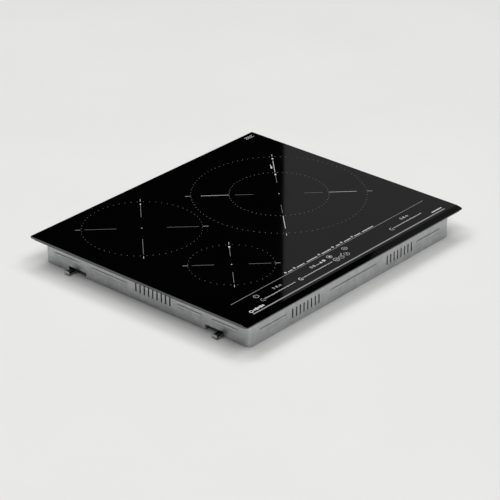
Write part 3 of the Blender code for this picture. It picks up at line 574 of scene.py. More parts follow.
def carved(shape, tool):
    """What is left of a shape when a tool is cut out of it. Uses up both."""
    body = placed("body", mesh_of(shape, "body"))
    cutter = placed("tool", mesh_of(tool, "tool"))
    cut = body.modifiers.new("cut", "BOOLEAN")
    cut.operation = "DIFFERENCE"
    cut.solver = "EXACT"
    cut.object = cutter
    bpy.context.view_layer.update()
    result = bmesh.new()
    result.from_mesh(body.evaluated_get(bpy.context.evaluated_depsgraph_get()).to_mesh())
    for part in (body, cutter):
        mesh = part.data
        bpy.data.objects.remove(part)
        bpy.data.meshes.remove(mesh)
    return result


def polar(radius, angle, x=0.0, y=0.0):
    """The point at a distance from (x, y), in the direction of an angle in radians."""
    return x + radius * math.cos(angle), y + radius * math.sin(angle)


def join(shape, lower, upper):
    """Faces all round between two rings of points."""
    for i in range(len(lower)):
        j = (i + 1) % len(lower)
        shape.faces.new((lower[i], lower[j], upper[j], upper[i]))


def loft(shape, rings):
    """A closed solid through a row of rings."""
    for lower, upper in zip(rings, rings[1:]):
        join(shape, lower, upper)
    shape.faces.new(rings[0][::-1])
    shape.faces.new(rings[-1])
    return shape


def prism(shape, outline, low, high, unit=MM):
    """Extrude a flat outline of (x, y) points into a closed solid."""
    lower = [shape.verts.new((x * unit, y * unit, low * unit)) for x, y in outline]
    upper = [shape.verts.new((x * unit, y * unit, high * unit)) for x, y in outline]
    shape.faces.new(lower[::-1])
    shape.faces.new(upper)
    join(shape, lower, upper)


def box(shape, low, high):
    """A box between two corners."""
    (x0, y0, z0), (x1, y1, z1) = low, high
    prism(shape, [(x0, y0), (x1, y0), (x1, y1), (x0, y1)], z0, z1)


def post(shape, x, y, width, depth, low, high):
    """An upright box round a place."""
    box(shape, (x - width / 2, y - depth / 2, low), (x + width / 2, y + depth / 2, high))


def slabs(y0, y1, *rectangles):
    """Boxes from one y to another, each given by its lowest x and z and its highest x and z."""
    shape = bmesh.new()
    for x0, z0, x1, z1 in rectangles:
        box(shape, (x0, y0, z0), (x1, y1, z1))
    return shape


def radial_bar(shape, centre, angle, near, far, width, low, high):
    """An upright bar pointing away from a centre."""
    out = Vector((math.cos(angle), math.sin(angle)))
    side = Vector((-out.y, out.x)) * width / 2
    corners = (out * near - side, out * far - side, out * far + side, out * near + side)
    prism(shape, [(centre.x + corner.x, centre.y + corner.y) for corner in corners], low, high)


def lathe(shape, profile, place=(0.0, 0.0, 0.0), toward=UP, steps=24, ring=False):
    """Turn (radius, height) points about a line through a place."""
    turn = Vector(toward).to_track_quat("Z", "Y")
    rings = []
    for radius, height in profile:
        angles = [2 * math.pi * i / steps for i in range(steps if radius > 0.0 else 1)]
        spots = [Vector(place) + turn @ Vector((*polar(radius, angle), height)) for angle in angles]
        rings.append([shape.verts.new(spot * MM) for spot in spots])
    for lower, upper in zip(rings, rings[1:] + rings[:1] if ring else rings[1:]):
        if len(lower) == len(upper):
            join(shape, lower, upper)
            continue
        for i in range(steps):
            j = (i + 1) % steps
            if len(lower) == 1:
                shape.faces.new((lower[0], upper[j], upper[i]))
            else:
                shape.faces.new((lower[i], lower[j], upper[0]))
    return shape


def sweep(shape, path, radius, sides=8, groove=0.0, lay=None):
    """A round wire along a path; grooves make it a rope of that lay."""
    path = [Vector(point) for point in path]
    last = len(path) - 1
    side = (path[1] - path[0]).orthogonal()
    travelled = 0.0
    rings = []
    for index, point in enumerate(path):
        tangent = (path[min(index + 1, last)] - path[max(index - 1, 0)]).normalized()
        side = (side - tangent * side.dot(tangent)).normalized()
        up = tangent.cross(side)
        if index:
            travelled += (point - path[index - 1]).length
        twist = 2 * math.pi * travelled / lay if lay else 0.0
        ring = []
        for k in range(sides):
            angle = 2 * math.pi * k / sides + twist
            reach = radius * (1.0 - groove * (k % 2))
            spot = point + (side * math.cos(angle) + up * math.sin(angle)) * reach
            ring.append(shape.verts.new(spot * MM))
        rings.append(ring)
    return loft(shape, rings)


def smooth_path(points, steps=8):
    """A curve through points, as a Catmull-Rom spline."""
    points = [Vector(point) for point in points]
    ends = [points[0] * 2 - points[1]] + points + [points[-1] * 2 - points[-2]]
    path = []
    for a, b, c, d in zip(ends, ends[1:], ends[2:], ends[3:]):
        for step in range(steps):
            t = step / steps
            square = (a * 2 - b * 5 + c * 4 - d) * t ** 2
            cube = (b * 3 - a - c * 3 + d) * t ** 3
            path.append((b * 2 + (c - a) * t + square + cube) / 2)
    return path + [points[-1]]


def helix(centre, radius, bottom, top, turns, steps=20):
    """Points of an upright coil."""
    count = int(turns * steps)
    spots = []
    for index in range(count + 1):
        height = bottom + (top - bottom) * index / count
        spots.append((*polar(radius, 2 * math.pi * turns * index / count, *centre), height))
    return spots


def bead(shape, middle, along, outward, length, width=BEAD_WIDTH, height=BEAD_HEIGHT):
    """A long rounded bead pressed out of a flat wall."""
    along, outward = Vector(along), Vector(outward)
    across = outward.cross(along)
    sections, steps = 5, 8
    rings = []
    for section in range(sections):
        tilt = math.radians(80) * section / (sections - 1)
        half = width / 2 * math.cos(tilt)
        rise = height * math.sin(tilt) if section else -BEAD_ROOT
        ring = []
        for end in (1, -1):
            for step in range(steps + 1):
                turn = math.pi * step / steps - math.pi / 2
                spot = along * end * ((length - width) / 2 + half * math.cos(turn))
                spot += across * end * half * math.sin(turn)
                ring.append(shape.verts.new((Vector(middle) + spot + outward * rise) * MM))
        rings.append(ring)
    return loft(shape, rings)


def plus_outline(arm, half):
    """The outline of an upright cross with arms of a length and a half width."""
    points = [(-arm, -half), (-half, -half), (-half, -arm), (half, -arm), (half, -half), (arm, -half)]
    return points + [(-x, -y) for x, y in points]


def make_screw_head():
    """A pan head of 1 mm radius with a cross recess, to be stamped where it is needed."""
    shank = ((0.0, -0.3), (0.5, -0.3), (0.5, 0.0), (1.0, 0.0), (1.0, 0.2))
    dome = ((0.93, 0.34), (0.72, 0.45), (0.4, 0.51), (0.0, 0.53))
    tool = bmesh.new()
    prism(tool, plus_outline(0.6, 0.1), 0.16, 0.8)
    return mesh_of(carved(lathe(bmesh.new(), shank + dome, steps=32), tool), "screw_head")


def stamp(shape, mesh, place, toward=UP, scale=1.0, turn=20.0):
    """Add a copy of a mesh to a shape at a place, its Z pointing in a direction."""
    known = len(shape.verts)
    shape.from_mesh(mesh)
    shape.verts.ensure_lookup_table()
    spin = Matrix.Rotation(math.radians(turn), 3, "Z")
    facing = Vector(toward).to_track_quat("Z", "Y").to_matrix() @ spin
    for vert in shape.verts[known:]:
        vert.co = Vector(place) * MM + facing @ (vert.co * scale)
    return shape


def add_screws(name, spots, radius, turn, turn_step=0.0, toward=UP):
    """A piece made of screw heads, each one turned a step further than the last."""
    screws = bmesh.new()
    for index, place in enumerate(spots):
        stamp(screws, SCREW_MESH, place, toward, radius, turn + turn_step * index)
    add_piece(name, screws, "spring_steel")


def corners_of(node):
    """A CAD node's lowest and highest corner."""
    low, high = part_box(node)
    return low / MM, high / MM


# ---------------------------------------------------------------- glass and its print

class Print:
    """Flat marks fired onto the glass, as thin solids."""

    def __init__(self, origin=(0.0, 0.0)):
        self.shape = bmesh.new()
        self.origin = origin

    def outline(self, points):
        area = sum(a[0] * b[1] - b[0] * a[1] for a, b in zip(points, points[1:] + points[:1]))
        x0, y0 = self.origin
        scaled = [((x0 + x) * MM, (y0 + y) * MM) for x, y in (points if area > 0 else points[::-1])]
        prism(self.shape, scaled, GLASS_TOP - PRINT_DEPTH / 2, GLASS_TOP + PRINT_DEPTH, 1.0)
        return self

    def dot(self, x, y, radius, sides=12):
        return self.outline([polar(radius, 2 * math.pi * i / sides, x, y) for i in range(sides)])

    def bar(self, x0, y0, x1, y1, width):
        """A straight line with square ends."""
        along = Vector((x1 - x0, y1 - y0)).normalized() * width / 2
        across, down = -along.y, along.x
        return self.outline([
            (x0 + across, y0 + down), (x0 - across, y0 - down),
            (x1 - across, y1 - down), (x1 + across, y1 + down),
        ])

    def ray(self, angle, near, far, width):
        """A straight line outwards from the origin, at an angle in degrees."""
        turn = math.radians(angle)
        return self.bar(*polar(near, turn), *polar(far, turn), width)

    def arc(self, x, y, radius, width, start=0.0, end=360.0, steps=32):
        """A stretch of a ring; a whole one is made of two halves."""
        if end - start >= 360.0:
            middle = (start + end) / 2
            self.arc(x, y, radius, width, start, middle, steps // 2)
            return self.arc(x, y, radius, width, middle, end, steps // 2)
        turns = [math.radians(start + (end - start) * i / steps) for i in range(steps + 1)]
        points = [polar(radius + width / 2, turn, x, y) for turn in turns]
        return self.outline(points + [polar(radius - width / 2, turn, x, y) for turn in reversed(turns)])

    def finish(self, name, dim=False):
        materials = (DIM_PRINT,) if dim else None
        add_piece(name, self.shape, "marking", materials=materials, smooth_angle=None)


def rounded_rectangle(low, high, front_radius, rear_radius, steps=8):
    """Corner arcs of a level rectangle, as (x, y) points."""
    points = []
    for sign_x, sign_y, start in ((1, 1, 0), (-1, 1, 90), (-1, -1, 180), (1, -1, 270)):
        radius = rear_radius if sign_y > 0 else front_radius
        centre_x = (high.x if sign_x > 0 else low.x) - sign_x * radius
        centre_y = (high.y if sign_y > 0 else low.y) - sign_y * radius
        for step in range(steps + 1):
            points.append(polar(radius, math.radians(start + 90 * step / steps), centre_x, centre_y))
    return points


def make_glass():
    """The glass plate: polished top and front bevel, ground edges, dimpled underside."""
    shape = bmesh.new()
    outline = rounded_rectangle(GLASS_LOW, GLASS_HIGH, FRONT_CORNER, REAR_CORNER)
    prism(shape, outline, GLASS_LOW.z, GLASS_TOP, 1.0)
    start = Vector((0.0, GLASS_LOW.y + BEVEL_DEPTH, GLASS_TOP))
    normal = Vector((0.0, -math.sin(BEVEL_SLOPE), math.cos(BEVEL_SLOPE)))
    everything = shape.verts[:] + shape.edges[:] + shape.faces[:]
    cut = bmesh.ops.bisect_plane(
        shape, geom=everything, plane_co=start, plane_no=normal, clear_outer=True,
    )
    rim = [item for item in cut["geom_cut"] if isinstance(item, bmesh.types.BMEdge)]
    bmesh.ops.holes_fill(shape, edges=rim)
    bmesh.ops.recalc_face_normals(shape, faces=shape.faces)
    arrises = [edge for edge in shape.edges if edge.calc_face_angle(0.0) > GLASS_EDGE_ANGLE]
    round_edges(shape, arrises, ARRIS, 3)
    for face in shape.faces:
        face.material_index = 0 if face.normal.z > LEVEL else 2 if face.normal.z < -LEVEL else 1
    materials = (FINISHES["black_glass"], ground_glass(), dimpled_glass())
    glass = add_piece("ceramic_glass", shape, "black_glass", materials=materials, smooth_angle=None)
    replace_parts(glass, "glass_top")


def make_zone_marks():
    """Dotted circles, diagonal lines and centre dots of the cooking zones."""
    for name, middle, circles, dot, (inset, stroke_width), diagonals, stub in ZONES:
        dots = Print(middle)
        lines = Print(middle)
        for radius, count in circles:
            for index in range(count):
                angle = math.radians(DIAGONALS[0] + 360.0 / count * (index + 0.5))
                dots.dot(*polar(radius, angle), dot)
            stroke = radius - inset
            near, far = stroke - STROKE_LENGTH / 2, stroke + STROKE_LENGTH / 2
            lines.ray(DIAGONALS[0], near, far, stroke_width)
        for diagonal in DIAGONALS:
            for (radius, _), (near, far, width) in zip(circles, diagonals):
                before_stroke = radius - inset - STROKE_LENGTH / 2 - STROKE_GAP
                end = min(far, before_stroke) if diagonal == DIAGONALS[0] else far
                (lines if width > DIM_WIDTH else dots).ray(diagonal, near, end, width)
            lines.ray(diagonal, *stub, STUB_WIDTH)
        lines.dot(0.0, 0.0, 1.1, 20)
        dots.finish(f"zone_dots_{name}", dim=True)
        lines.finish(f"zone_lines_{name}")


def make_control_lines():
    """The thin line behind the touch controls and the wide bar before them."""
    Print().bar(-258.5, -183.5, 272.5, -183.5, 0.95).finish("control_line_rear", dim=True)
    Print().bar(-258.0, -233.3, 272.0, -233.3, 2.7).finish("control_bar_front", dim=True)


def make_slider(name, icon_x, start, end, icon_stroke):
    """A touch slider: a small open ring, then a ruled line with fine ticks on both sides."""
    marks = Print((0.0, SLIDER_Y))
    line, tick, inset, pitch = 0.66, 0.45, 0.25, 2.5
    marks.arc(icon_x, 0.0, 4.2, icon_stroke, 60, 300, 24)
    marks.bar(icon_x, 0.0, icon_x + 3.6, 0.0, icon_stroke)
    marks.bar(start, 0.0, end, 0.0, line)
    count = round((end - start) / pitch)
    for index in range(count + 1):
        x = start + inset + (end - start - 2 * inset) * index / count
        height = 1.6 if index % 4 == 0 else 0.95
        for side in (1, -1):
            marks.bar(x, side * line / 2, x, side * (line / 2 + height), tick)
    marks.finish(f"slider_{name}")


def make_keys():
    """Touch key symbols: power, lock, pause, less, timer and more."""
    keys = {name: Print(spot) for name, spot in TOUCH_SPOTS.items()}
    keys["power"].arc(0.0, 0.0, 4.9, 0.65, 120, 420, 28).bar(0.0, 0.8, 0.0, 6.0, 0.75)

    keys["lock"].arc(0.0, 0.0, 5.0, 0.6)
    keys["lock"].outline([(-2.0, -2.4), (2.0, -2.4), (2.0, 0.4), (-2.0, 0.4)])
    keys["lock"].arc(0.0, 0.4, 1.5, 0.6, 0, 180, 12)

    keys["pause"].arc(0.0, 0.0, 5.0, 0.55)
    for x in (-1.3, 1.3):
        keys["pause"].bar(x, -2.1, x, 2.1, 0.7)

    keys["less"].arc(0.0, 0.0, 5.4, 0.9).bar(-2.6, 0.0, 2.6, 0.0, 1.0)

    keys["timer"].arc(0.0, 0.0, 4.9, 0.62).bar(0.0, -0.3, 0.0, 3.0, 0.6)
    keys["timer"].bar(0.3, -0.3, 2.4, -0.3, 0.6).bar(4.6, 4.3, 10.5, 9.8, 0.95)

    keys["more"].arc(0.0, 0.0, 5.0, 0.55).outline(plus_outline(2.2, 0.32))
    for name, marks in keys.items():
        marks.finish(f"key_{name}")


def digit(marks, x, y, segments, height=5.6, width=3.2, stroke=0.8):
    """One seven-segment digit, its lit segments named a to g, leaning slightly."""
    lean, gap = 0.12, 0.22
    half_w, half_h = width / 2, height / 2

    def slanted(px, py):
        return x + px + lean * py, y + py

    level = {"a": half_h, "g": 0.0, "d": -half_h}
    upright = {"b": (half_w, 0), "c": (half_w, -half_h), "e": (-half_w, -half_h), "f": (-half_w, 0)}
    for segment in segments:
        if segment in level:
            py = level[segment]
            ends = (slanted(-half_w + gap + stroke / 2, py), slanted(half_w - gap - stroke / 2, py))
        else:
            px, low = upright[segment]
            ends = (slanted(px, low + gap), slanted(px, low + half_h - gap))
        marks.bar(*ends[0], *ends[1], stroke)


def make_indicators():
    """Seven-segment read-outs above the sliders, and the timer's read-out."""
    for name, x, stroke in (("left", -157.5, 0.6), ("right", 196.0, 0.85)):
        marks = Print((x, -199.0))
        digit(marks, -8.5, 0.0, "abcdef", stroke=stroke)
        digit(marks, -1.0, -0.3, "abcdefg", 5.0, 3.0, stroke * 1.3)
        marks.dot(3.4, -2.2, 0.7)
        marks.arc(7.6, -0.6, 1.9, stroke)
        marks.finish(f"indicator_{name}")
    marks = Print((-48.3, -198.5))
    digit(marks, -17.0, 0.0, "abcdef", stroke=0.85)
    digit(marks, -9.5, 0.0, "abcdefg", 5.2, 3.0, 1.2)
    marks.bar(-5.0, -1.6, 4.0, -1.6, 1.0)
    marks.outline([(5.4, -2.8), (11.6, -2.8), (8.5, 3.0)])
    marks.arc(17.3, 0.0, 2.2, 2.0)
    marks.finish("indicator_middle")


def make_legends():
    """Small symbols and rows of plain dashes along the rear control line."""
    marks = Print((0.0, LEGEND_Y))
    for symbol, start, end in LEGENDS:
        if symbol is not None:
            marks.arc(symbol, 0.6, 1.9, 1.0, 0, 360, 16)
            marks.dot(symbol, 0.6, 0.8, 10)
        count = max(2, round((end - start) / 3.1))
        pitch = (end - start) / count
        for index in range(count):
            x = start + pitch * index
            marks.bar(x, -1.2, x + pitch - 0.6, -1.2, 2.2)
    marks.finish("legend_dashes")


def make_pan_symbol():
    """A pan seen from the side, along the large zone's rear line."""
    marks = Print((202.5, 121.5))
    cosine, sine = math.cos(math.radians(45)), math.sin(math.radians(45))
    pan = ((-7.5, -1.3), (0.5, -1.3), (1.0, 1.6), (-8.0, 1.6))
    handle = ((2.0, 0.4), (8.5, 0.4), (8.5, 1.6), (2.0, 1.6))
    for points in (pan, handle):
        marks.outline([(x * cosine - y * sine, x * sine + y * cosine) for x, y in points])
    marks.finish("pan_symbol")


def make_corner_marks():
    """Plain geometric marks in three corners of the glass."""
    marks = Print((-239.3, -225.0))
    marks.arc(-14.2, 0.0, 3.2, 1.6)
    for index in range(5):
        x = -8.0 + index * 5.4
        height = 3.4 if index % 2 else 2.2
        marks.outline([(x, -height), (x + 3.9, -height), (x + 3.9, height), (x, height)])
    marks.finish("corner_mark_front_left")

    marks = Print((258.5, -226.0))
    for index in range(7):
        x = -14.5 + index * 4.15
        marks.bar(x, 0.0, x + 3.3, 0.0, 2.9)
    marks.finish("corner_mark_front_right")

    marks = Print((276.3, 241.5))
    for row, y in enumerate((3.2, 0.0, -3.2)):
        for index in range(5 - row % 2):
            x = -11.0 + index * 4.7 + (row % 2) * 2.0
            marks.bar(x, y, x + 3.4, y, 1.1)
    marks.finish("corner_mark_rear_right")


# ---------------------------------------------------------------- casing hardware

def make_wall_screws():
    """Cross-head screws that hold the casing's walls to the frame under the glass."""
    half_x, half_y = CASING_HALF
    for wall, side, stations in (("front", -1, (-215, -45, 45, 215)), ("rear", 1, (-215, -66, 66, 215))):
        spots = [(x, side * half_y, WALL_SCREW_Z) for x in stations]
        add_screws(f"casing_screws_{wall}", spots, WALL_SCREW_RADIUS, 15.0, 37.0, (0, side, 0))
    for wall, side in (("left", -1), ("right", 1)):
        spots = [(side * half_x, y, WALL_SCREW_Z) for y in (-200, -85, 55, 200)]
        add_screws(f"casing_screws_{wall}", spots, WALL_SCREW_RADIUS, 15.0, 37.0, (side, 0, 0))


def make_wall_beads():
    """Stiffening beads pressed out of the casing's walls, clear of the air slots."""
    half_x, half_y = CASING_HALF
    beads = bmesh.new()
    for middle, length in ((-215, 70), (0, 130), (215, 70)):
        bead(beads, (middle, -half_y, BEAD_Z), (1, 0, 0), (0, -1, 0), length)
    for middle in (-205, 205):
        bead(beads, (middle, half_y, BEAD_Z), (-1, 0, 0), (0, 1, 0), 90)
    for side in (-1, 1):
        for middle, length in ((-105, 60), (85, 90), (190, 60), (-185, 60)):
            bead(beads, (side * half_x, middle, BEAD_Z), (0, -side, 0), (side, 0, 0), length)
    add_piece("casing_beads", beads, "casing_steel")


def make_earth_point():
    """The casing's earth screw with its toothed washer, beside the terminal box."""
    x, z, teeth = 62.0, 15.0, 12
    rear = CASING_HALF[1]
    outline = [polar(4.6 if index % 2 else 3.7, math.pi * index / teeth) for index in range(teeth * 2)]
    washer = bmesh.new()
    prism(washer, outline, 0.0, 0.5)
    mesh = mesh_of(washer, "earth_washer")
    stack = stamp(bmesh.new(), mesh, (x, rear - 0.05, z), (0, 1, 0))
    stamp(stack, SCREW_MESH, (x, rear + 0.4, z), (0, 1, 0), 2.9, 30.0)
    bpy.data.meshes.remove(mesh)
    add_piece("earth_screw", stack, "spring_steel")


def make_cover_details():
    """Outer ribs, inner rim and latch tab of the terminal cover, and the latch's keeper."""
    top = corners_of("terminal_box_cover")[1].z
    back, face = 241.3, 242.8
    ribs = slabs(
        face - 0.2, face + 0.6,
        (-42.4, 6.0, -41.2, 34.4), (41.2, 6.0, 42.4, 34.4),
        (-42.4, 33.4, 17.2, 34.6), (32.8, 33.4, 42.4, 34.6),
    )
    for row in range(5):
        z = 24.0 + 1.9 * row
        box(ribs, (-14.0, face - 0.2, z), (10.0, face + 0.7, z + 0.9))
    rim = slabs(
        back - 1.6, back + 0.2,
        (-38.6, 6.6, -37.4, 30.4), (37.4, 6.6, 38.6, 30.4),
        (-38.0, 6.6, 38.0, 7.8), (-38.0, 29.2, 17.5, 30.4),
    )
    tab = slabs(back + 0.1, face - 0.2, (-6.0, top - 1.0, 6.0, top + 2.4))
    box(tab, (-6.0, face - 0.4, top + 1.4), (6.0, face + 0.6, top + 2.4))
    for name, shape in (("ribs", ribs), ("rim", rim), ("tab", tab)):
        add_piece(f"cover_{name}", soften(shape, FINE_ROUNDING), "dark_plastic", "terminal_cover")

    rear = CASING_HALF[1]
    foot, bridge, head = top + 0.6, top + 3.2, top + 4.6
    keeper = slabs(
        rear - 0.3, rear + 1.4,
        (-9.0, foot, -6.8, head), (6.8, foot, 9.0, head), (-9.0, bridge, 9.0, head),
    )
    add_piece("cover_keeper", soften(keeper, FINE_ROUNDING), "casing_steel")


def make_terminals():
    """Poles, partitions and screws on the terminal block, and the screws of the cable clamp."""
    low, high = corners_of("terminal_block")
    poles = len(MAINS_WIRES)
    pitch = (high.x - low.x) / poles
    step_z, step_depth, half_wall = 13.0, 6.0, 0.6
    walls = bmesh.new()
    plates = bmesh.new()
    screws = bmesh.new()
    for index in range(poles + 1):
        x = min(max(low.x + pitch * index, low.x + half_wall), high.x - half_wall)
        for y0 in (low.y, high.y - step_depth):
            y1 = y0 + step_depth + 0.2
            box(walls, (x - half_wall, y0 + 0.4, step_z - 0.2), (x + half_wall, y1, 19.2))
    for index in range(poles):
        x = low.x + pitch * (index + 0.5)
        for y in (low.y + step_depth / 2, high.y - step_depth / 2):
            post(plates, x, y, 6.8, 4.8, step_z - 0.1, step_z + 0.9)
            stamp(screws, SCREW_MESH, (x, y, step_z + 0.9), UP, 2.2, 25.0 * index)
        box(plates, (x - 2.0, low.y + step_depth, 20.9), (x + 2.0, high.y - step_depth, 21.5))
    add_piece("terminal_walls", soften(walls, FINE_ROUNDING), "white_plastic")
    add_piece("terminal_plates", soften(plates, FINE_ROUNDING), "spring_steel")
    add_piece("terminal_screws", screws, "spring_steel")

    low, high = corners_of("cable_clamp")
    spots = [(x, (low.y + high.y) / 2, high.z) for x in (low.x + 2.3, high.x - 2.3)]
    add_screws("cable_clamp_screws", spots, 2.2, 40.0)
    grips = bmesh.new()
    for row in range(4):
        y = low.y + 2.0 + row * 2.4
        box(grips, (low.x + 4.4, y, 14.3), (high.x - 4.4, y + 1.0, 15.7))
    add_piece("cable_clamp_grips", soften(grips, FINE_ROUNDING), "dark_plastic")


def make_clamp_details():
    """Pressed rib and teeth of each clamp, and the coil spring that holds it down."""
    for body in ("clamp_front_left", "clamp_front_right", "clamp_rear_left", "clamp_rear_right"):
        low, high = corners_of(f"swivel_{body}")
        side = 1 if high.x > 0 else -1
        y = (low.y + high.y) / 2
        plate_top = low.z + CLAMP_SHEET
        tip = high.x if side > 0 else low.x
        rib = bead(bmesh.new(), (tip - side * 13.0, y, plate_top), (1, 0, 0), UP, 15.0, 3.4, 0.7)
        add_piece(f"{body}_rib", rib, "spring_steel", body)

        teeth = bmesh.new()
        x0, x1 = sorted((tip - side * CLAMP_SHEET, tip - side * 0.3))
        count, width, gap = 6, 2.0, 0.1
        root = high.z - 0.1
        for index in range(count):
            start = y - count * width / 2 + index * width
            ridge = ((start + gap, root), (start + width - gap, root), (start + width / 2, root + 0.8))
            prism(teeth, ridge, x0, x1)
        for vert in teeth.verts:
            vert.co = (vert.co.z, vert.co.x, vert.co.y)
        add_piece(f"{body}_teeth", teeth, "spring_steel", body, smooth_angle=None)

        turns = helix((side * CLAMP_PIVOT, y), 3.1, plate_top + 0.5, 9.1, 3.5)
        spring = sweep(bmesh.new(), turns, 0.35, 6)
        add_piece(f"{body}_spring", spring, "spring_steel", smooth_angle=80)


# ---------------------------------------------------------------- inside the casing

def make_winding(node, inner, start):
    """A flat spiral of litz rope, from its inner radius outwards. Returns its outer end."""
    low, high = corners_of(node)
    centre = (low + high) / 2
    wire = (high.z - low.z) / 2 - 0.05
    first = inner + wire
    last = (high.x - low.x) / 2 - wire
    pitch = (last - first) / int((last - first) / (2 * wire))
    full_turn = 2 * math.pi * (last - first) / pitch
    path = []
    turn, radius = full_turn, last
    while radius > first:
        angle = math.radians(start) + turn - full_turn
        path.append((*polar(radius, angle, centre.x, centre.y), centre.z))
        turn -= LITZ_STEP / radius
        radius = first + pitch * turn / (2 * math.pi)
    rope = sweep(bmesh.new(), path, wire, 10, 0.13, LITZ_LAY)
    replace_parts(add_piece(f"litz_{node}", rope, "copper_litz", smooth_angle=50), node)
    return path[0]


def make_carrier(zone, rings, lead_angle):
    """A coil carrier with ferrite bars let into its underside and a notch for the coil's lead."""
    node = f"coil_carrier_{zone}"
    low, high = corners_of(node)
    centre = (low + high) / 2
    rim = (high.x - low.x) / 2
    bars = bmesh.new()
    pockets = bmesh.new()
    for count, near, far in rings:
        for index in range(count):
            angle = 2 * math.pi * (index + 0.5) / count
            radial_bar(bars, centre, angle, near, far, 12.0, low.z + 0.2, low.z + 2.9)
            radial_bar(pockets, centre, angle, near - 0.3, far + 0.3, 12.6, low.z - 1.0, low.z + 3.1)
    notch = math.radians(lead_angle)
    radial_bar(pockets, centre, notch, rim - 3.0, rim + 1.0, 5.6, high.z - 4.4, high.z + 1.0)
    refine(node, carved(copied(node), pockets))
    add_piece(f"ferrite_bars_{zone}", soften(bars), "ferrite")


def make_coils():
    """Windings, carriers with ferrites, and the leads down to the inverter boards."""
    for zone, windings, rings, lead_angle, route in COILS:
        for node, inner in windings:
            end = make_winding(node, inner, lead_angle)
        make_carrier(zone, rings, lead_angle)
        low, high = corners_of(f"coil_carrier_{zone}")
        centre = (low + high) / 2
        out = Vector((*polar(1.0, math.radians(lead_angle)), 0.0))
        reach = (high.x - low.x) / 2
        across = [Vector(end), centre + out * (reach - 0.5), centre + out * (reach + 6.0)]
        across[1].z = end[2]
        across[2].z = end[2] - 2.5
        lead = sweep(bmesh.new(), smooth_path(across + list(route)), LEAD_RADIUS)
        add_piece(f"coil_lead_{zone}", lead, "silicone", materials=(INSULATION["red"],), smooth_angle=50)


def make_choke_winding(node, hole, turns, wire, spans):
    """A ferrite ring with copper wire wound round it, in place of a plain ring."""
    low, high = corners_of(node)
    middle = (low + high) / 2
    outer = (high.x - low.x) / 2
    ring_radius = (outer + hole) / 2
    half_width = (outer - hole) / 2 - wire
    half_height = (high.z - low.z) / 2 - wire
    squareness = 0.6
    count = turns * 18
    coil = bmesh.new()
    for start, end in spans:
        path = []
        for index in range(count + 1):
            share = index / count
            around = math.radians(start + (end - start) * share)
            tilt = 2 * math.pi * turns * share - math.pi / 2
            wide, tall = (math.copysign(abs(part) ** squareness, part) for part in polar(1.0, tilt))
            radius = ring_radius + half_width * wide
            path.append((*polar(radius, around, middle.x, middle.y), middle.z + half_height * tall))
        sweep(coil, path, wire)
    materials = (ENAMELLED_COPPER,)
    piece = add_piece(f"wound_{node}", coil, "copper_litz", materials=materials, smooth_angle=50)
    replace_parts(piece, node)
    w, h = half_width - wire - 0.2, half_height - wire - 0.2
    corners = ((ring_radius + w, -h), (ring_radius + w, h), (ring_radius - w, h), (ring_radius - w, -h))
    core = lathe(bmesh.new(), corners, middle, steps=48, ring=True)
    add_piece(f"core_{node}", soften(core), "ferrite")


def hollow_out(shape, wall, depth):
    """Sink the upward faces of boxes inside a wall of that thickness."""
    shape.normal_update()
    lids = [face for face in shape.faces if face.normal.z > LEVEL]
    bmesh.ops.inset_individual(shape, faces=lids, thickness=wall * MM, depth=0.0)
    for vert in {vert for face in lids for vert in face.verts}:
        vert.co.z -= depth * MM


def make_fan_lid(label):
    """Radial ribs, motor cap and screws on top of a blower's housing."""
    low, high = corners_of(f"fan_impeller_{label}")
    middle = (low + high) / 2
    lid = corners_of(f"fan_housing_{label}")[1].z
    place = (middle.x, middle.y, 0.0)
    root, rib = lid - 0.3, lid + 0.7
    ribs = bmesh.new()
    count = 12
    for index in range(count):
        radial_bar(ribs, middle, 2 * math.pi * index / count, 13.5, 34.0, 1.2, root, rib)
    cap = ((0.0, root), (13.0, root), (13.0, lid + 1.0), (12.0, lid + 1.4), (0.0, lid + 1.4))
    lathe(ribs, cap, place, steps=40)
    lathe(ribs, ((36.0, root), (36.0, rib), (34.0, rib), (34.0, root)), place, steps=64, ring=True)
    add_piece(f"fan_lid_{label}", soften(ribs, FINE_ROUNDING), "dark_plastic")
    turns = [angle if label == "right" else 180.0 - angle for angle in (30.0, 120.0, 210.0)]
    spots = [(*polar(38.6, math.radians(turn), middle.x, middle.y), lid) for turn in turns]
    add_screws(f"fan_screws_{label}", spots, 1.8, 30.0, 90.0)


def chip(bodies, legs, x, y, z, width, depth, pins):
    """A flat chip with legs along its two long sides."""
    post(bodies, x, y, width, depth, z + 0.2, z + 1.7)
    pitch = width / pins
    for pin in range(pins):
        at = x - width / 2 + pitch * (pin + 0.5)
        for end in (-1, 1):
            post(legs, at, y + end * (depth / 2 + 0.45), pitch * 0.4, 1.3, z - 0.05, z + 0.5)


def make_transformer(groups, x, y, z):
    """Two U-shaped core halves round a taped coil, which stands between two flanges."""
    for end in (-1, 1):
        outline = [(x + end * across, y + end * along) for across, along in CORE_HALF]
        prism(groups["cores"], outline, z + 3.5, z + 11.5)
    low = Vector((x - 6.6, y - 4.7)) * MM
    high = Vector((x + 6.6, y + 4.7)) * MM
    corner = 2.0 * MM
    tape = rounded_rectangle(low, high, corner, corner, 4)
    prism(groups["tapes"], tape, (z + 1.0) * MM, (z + 14.0) * MM, 1.0)
    for flange in (z, z + 13.8):
        post(groups["headers"], x, y, 16.0, 11.2, flange, flange + 1.2)


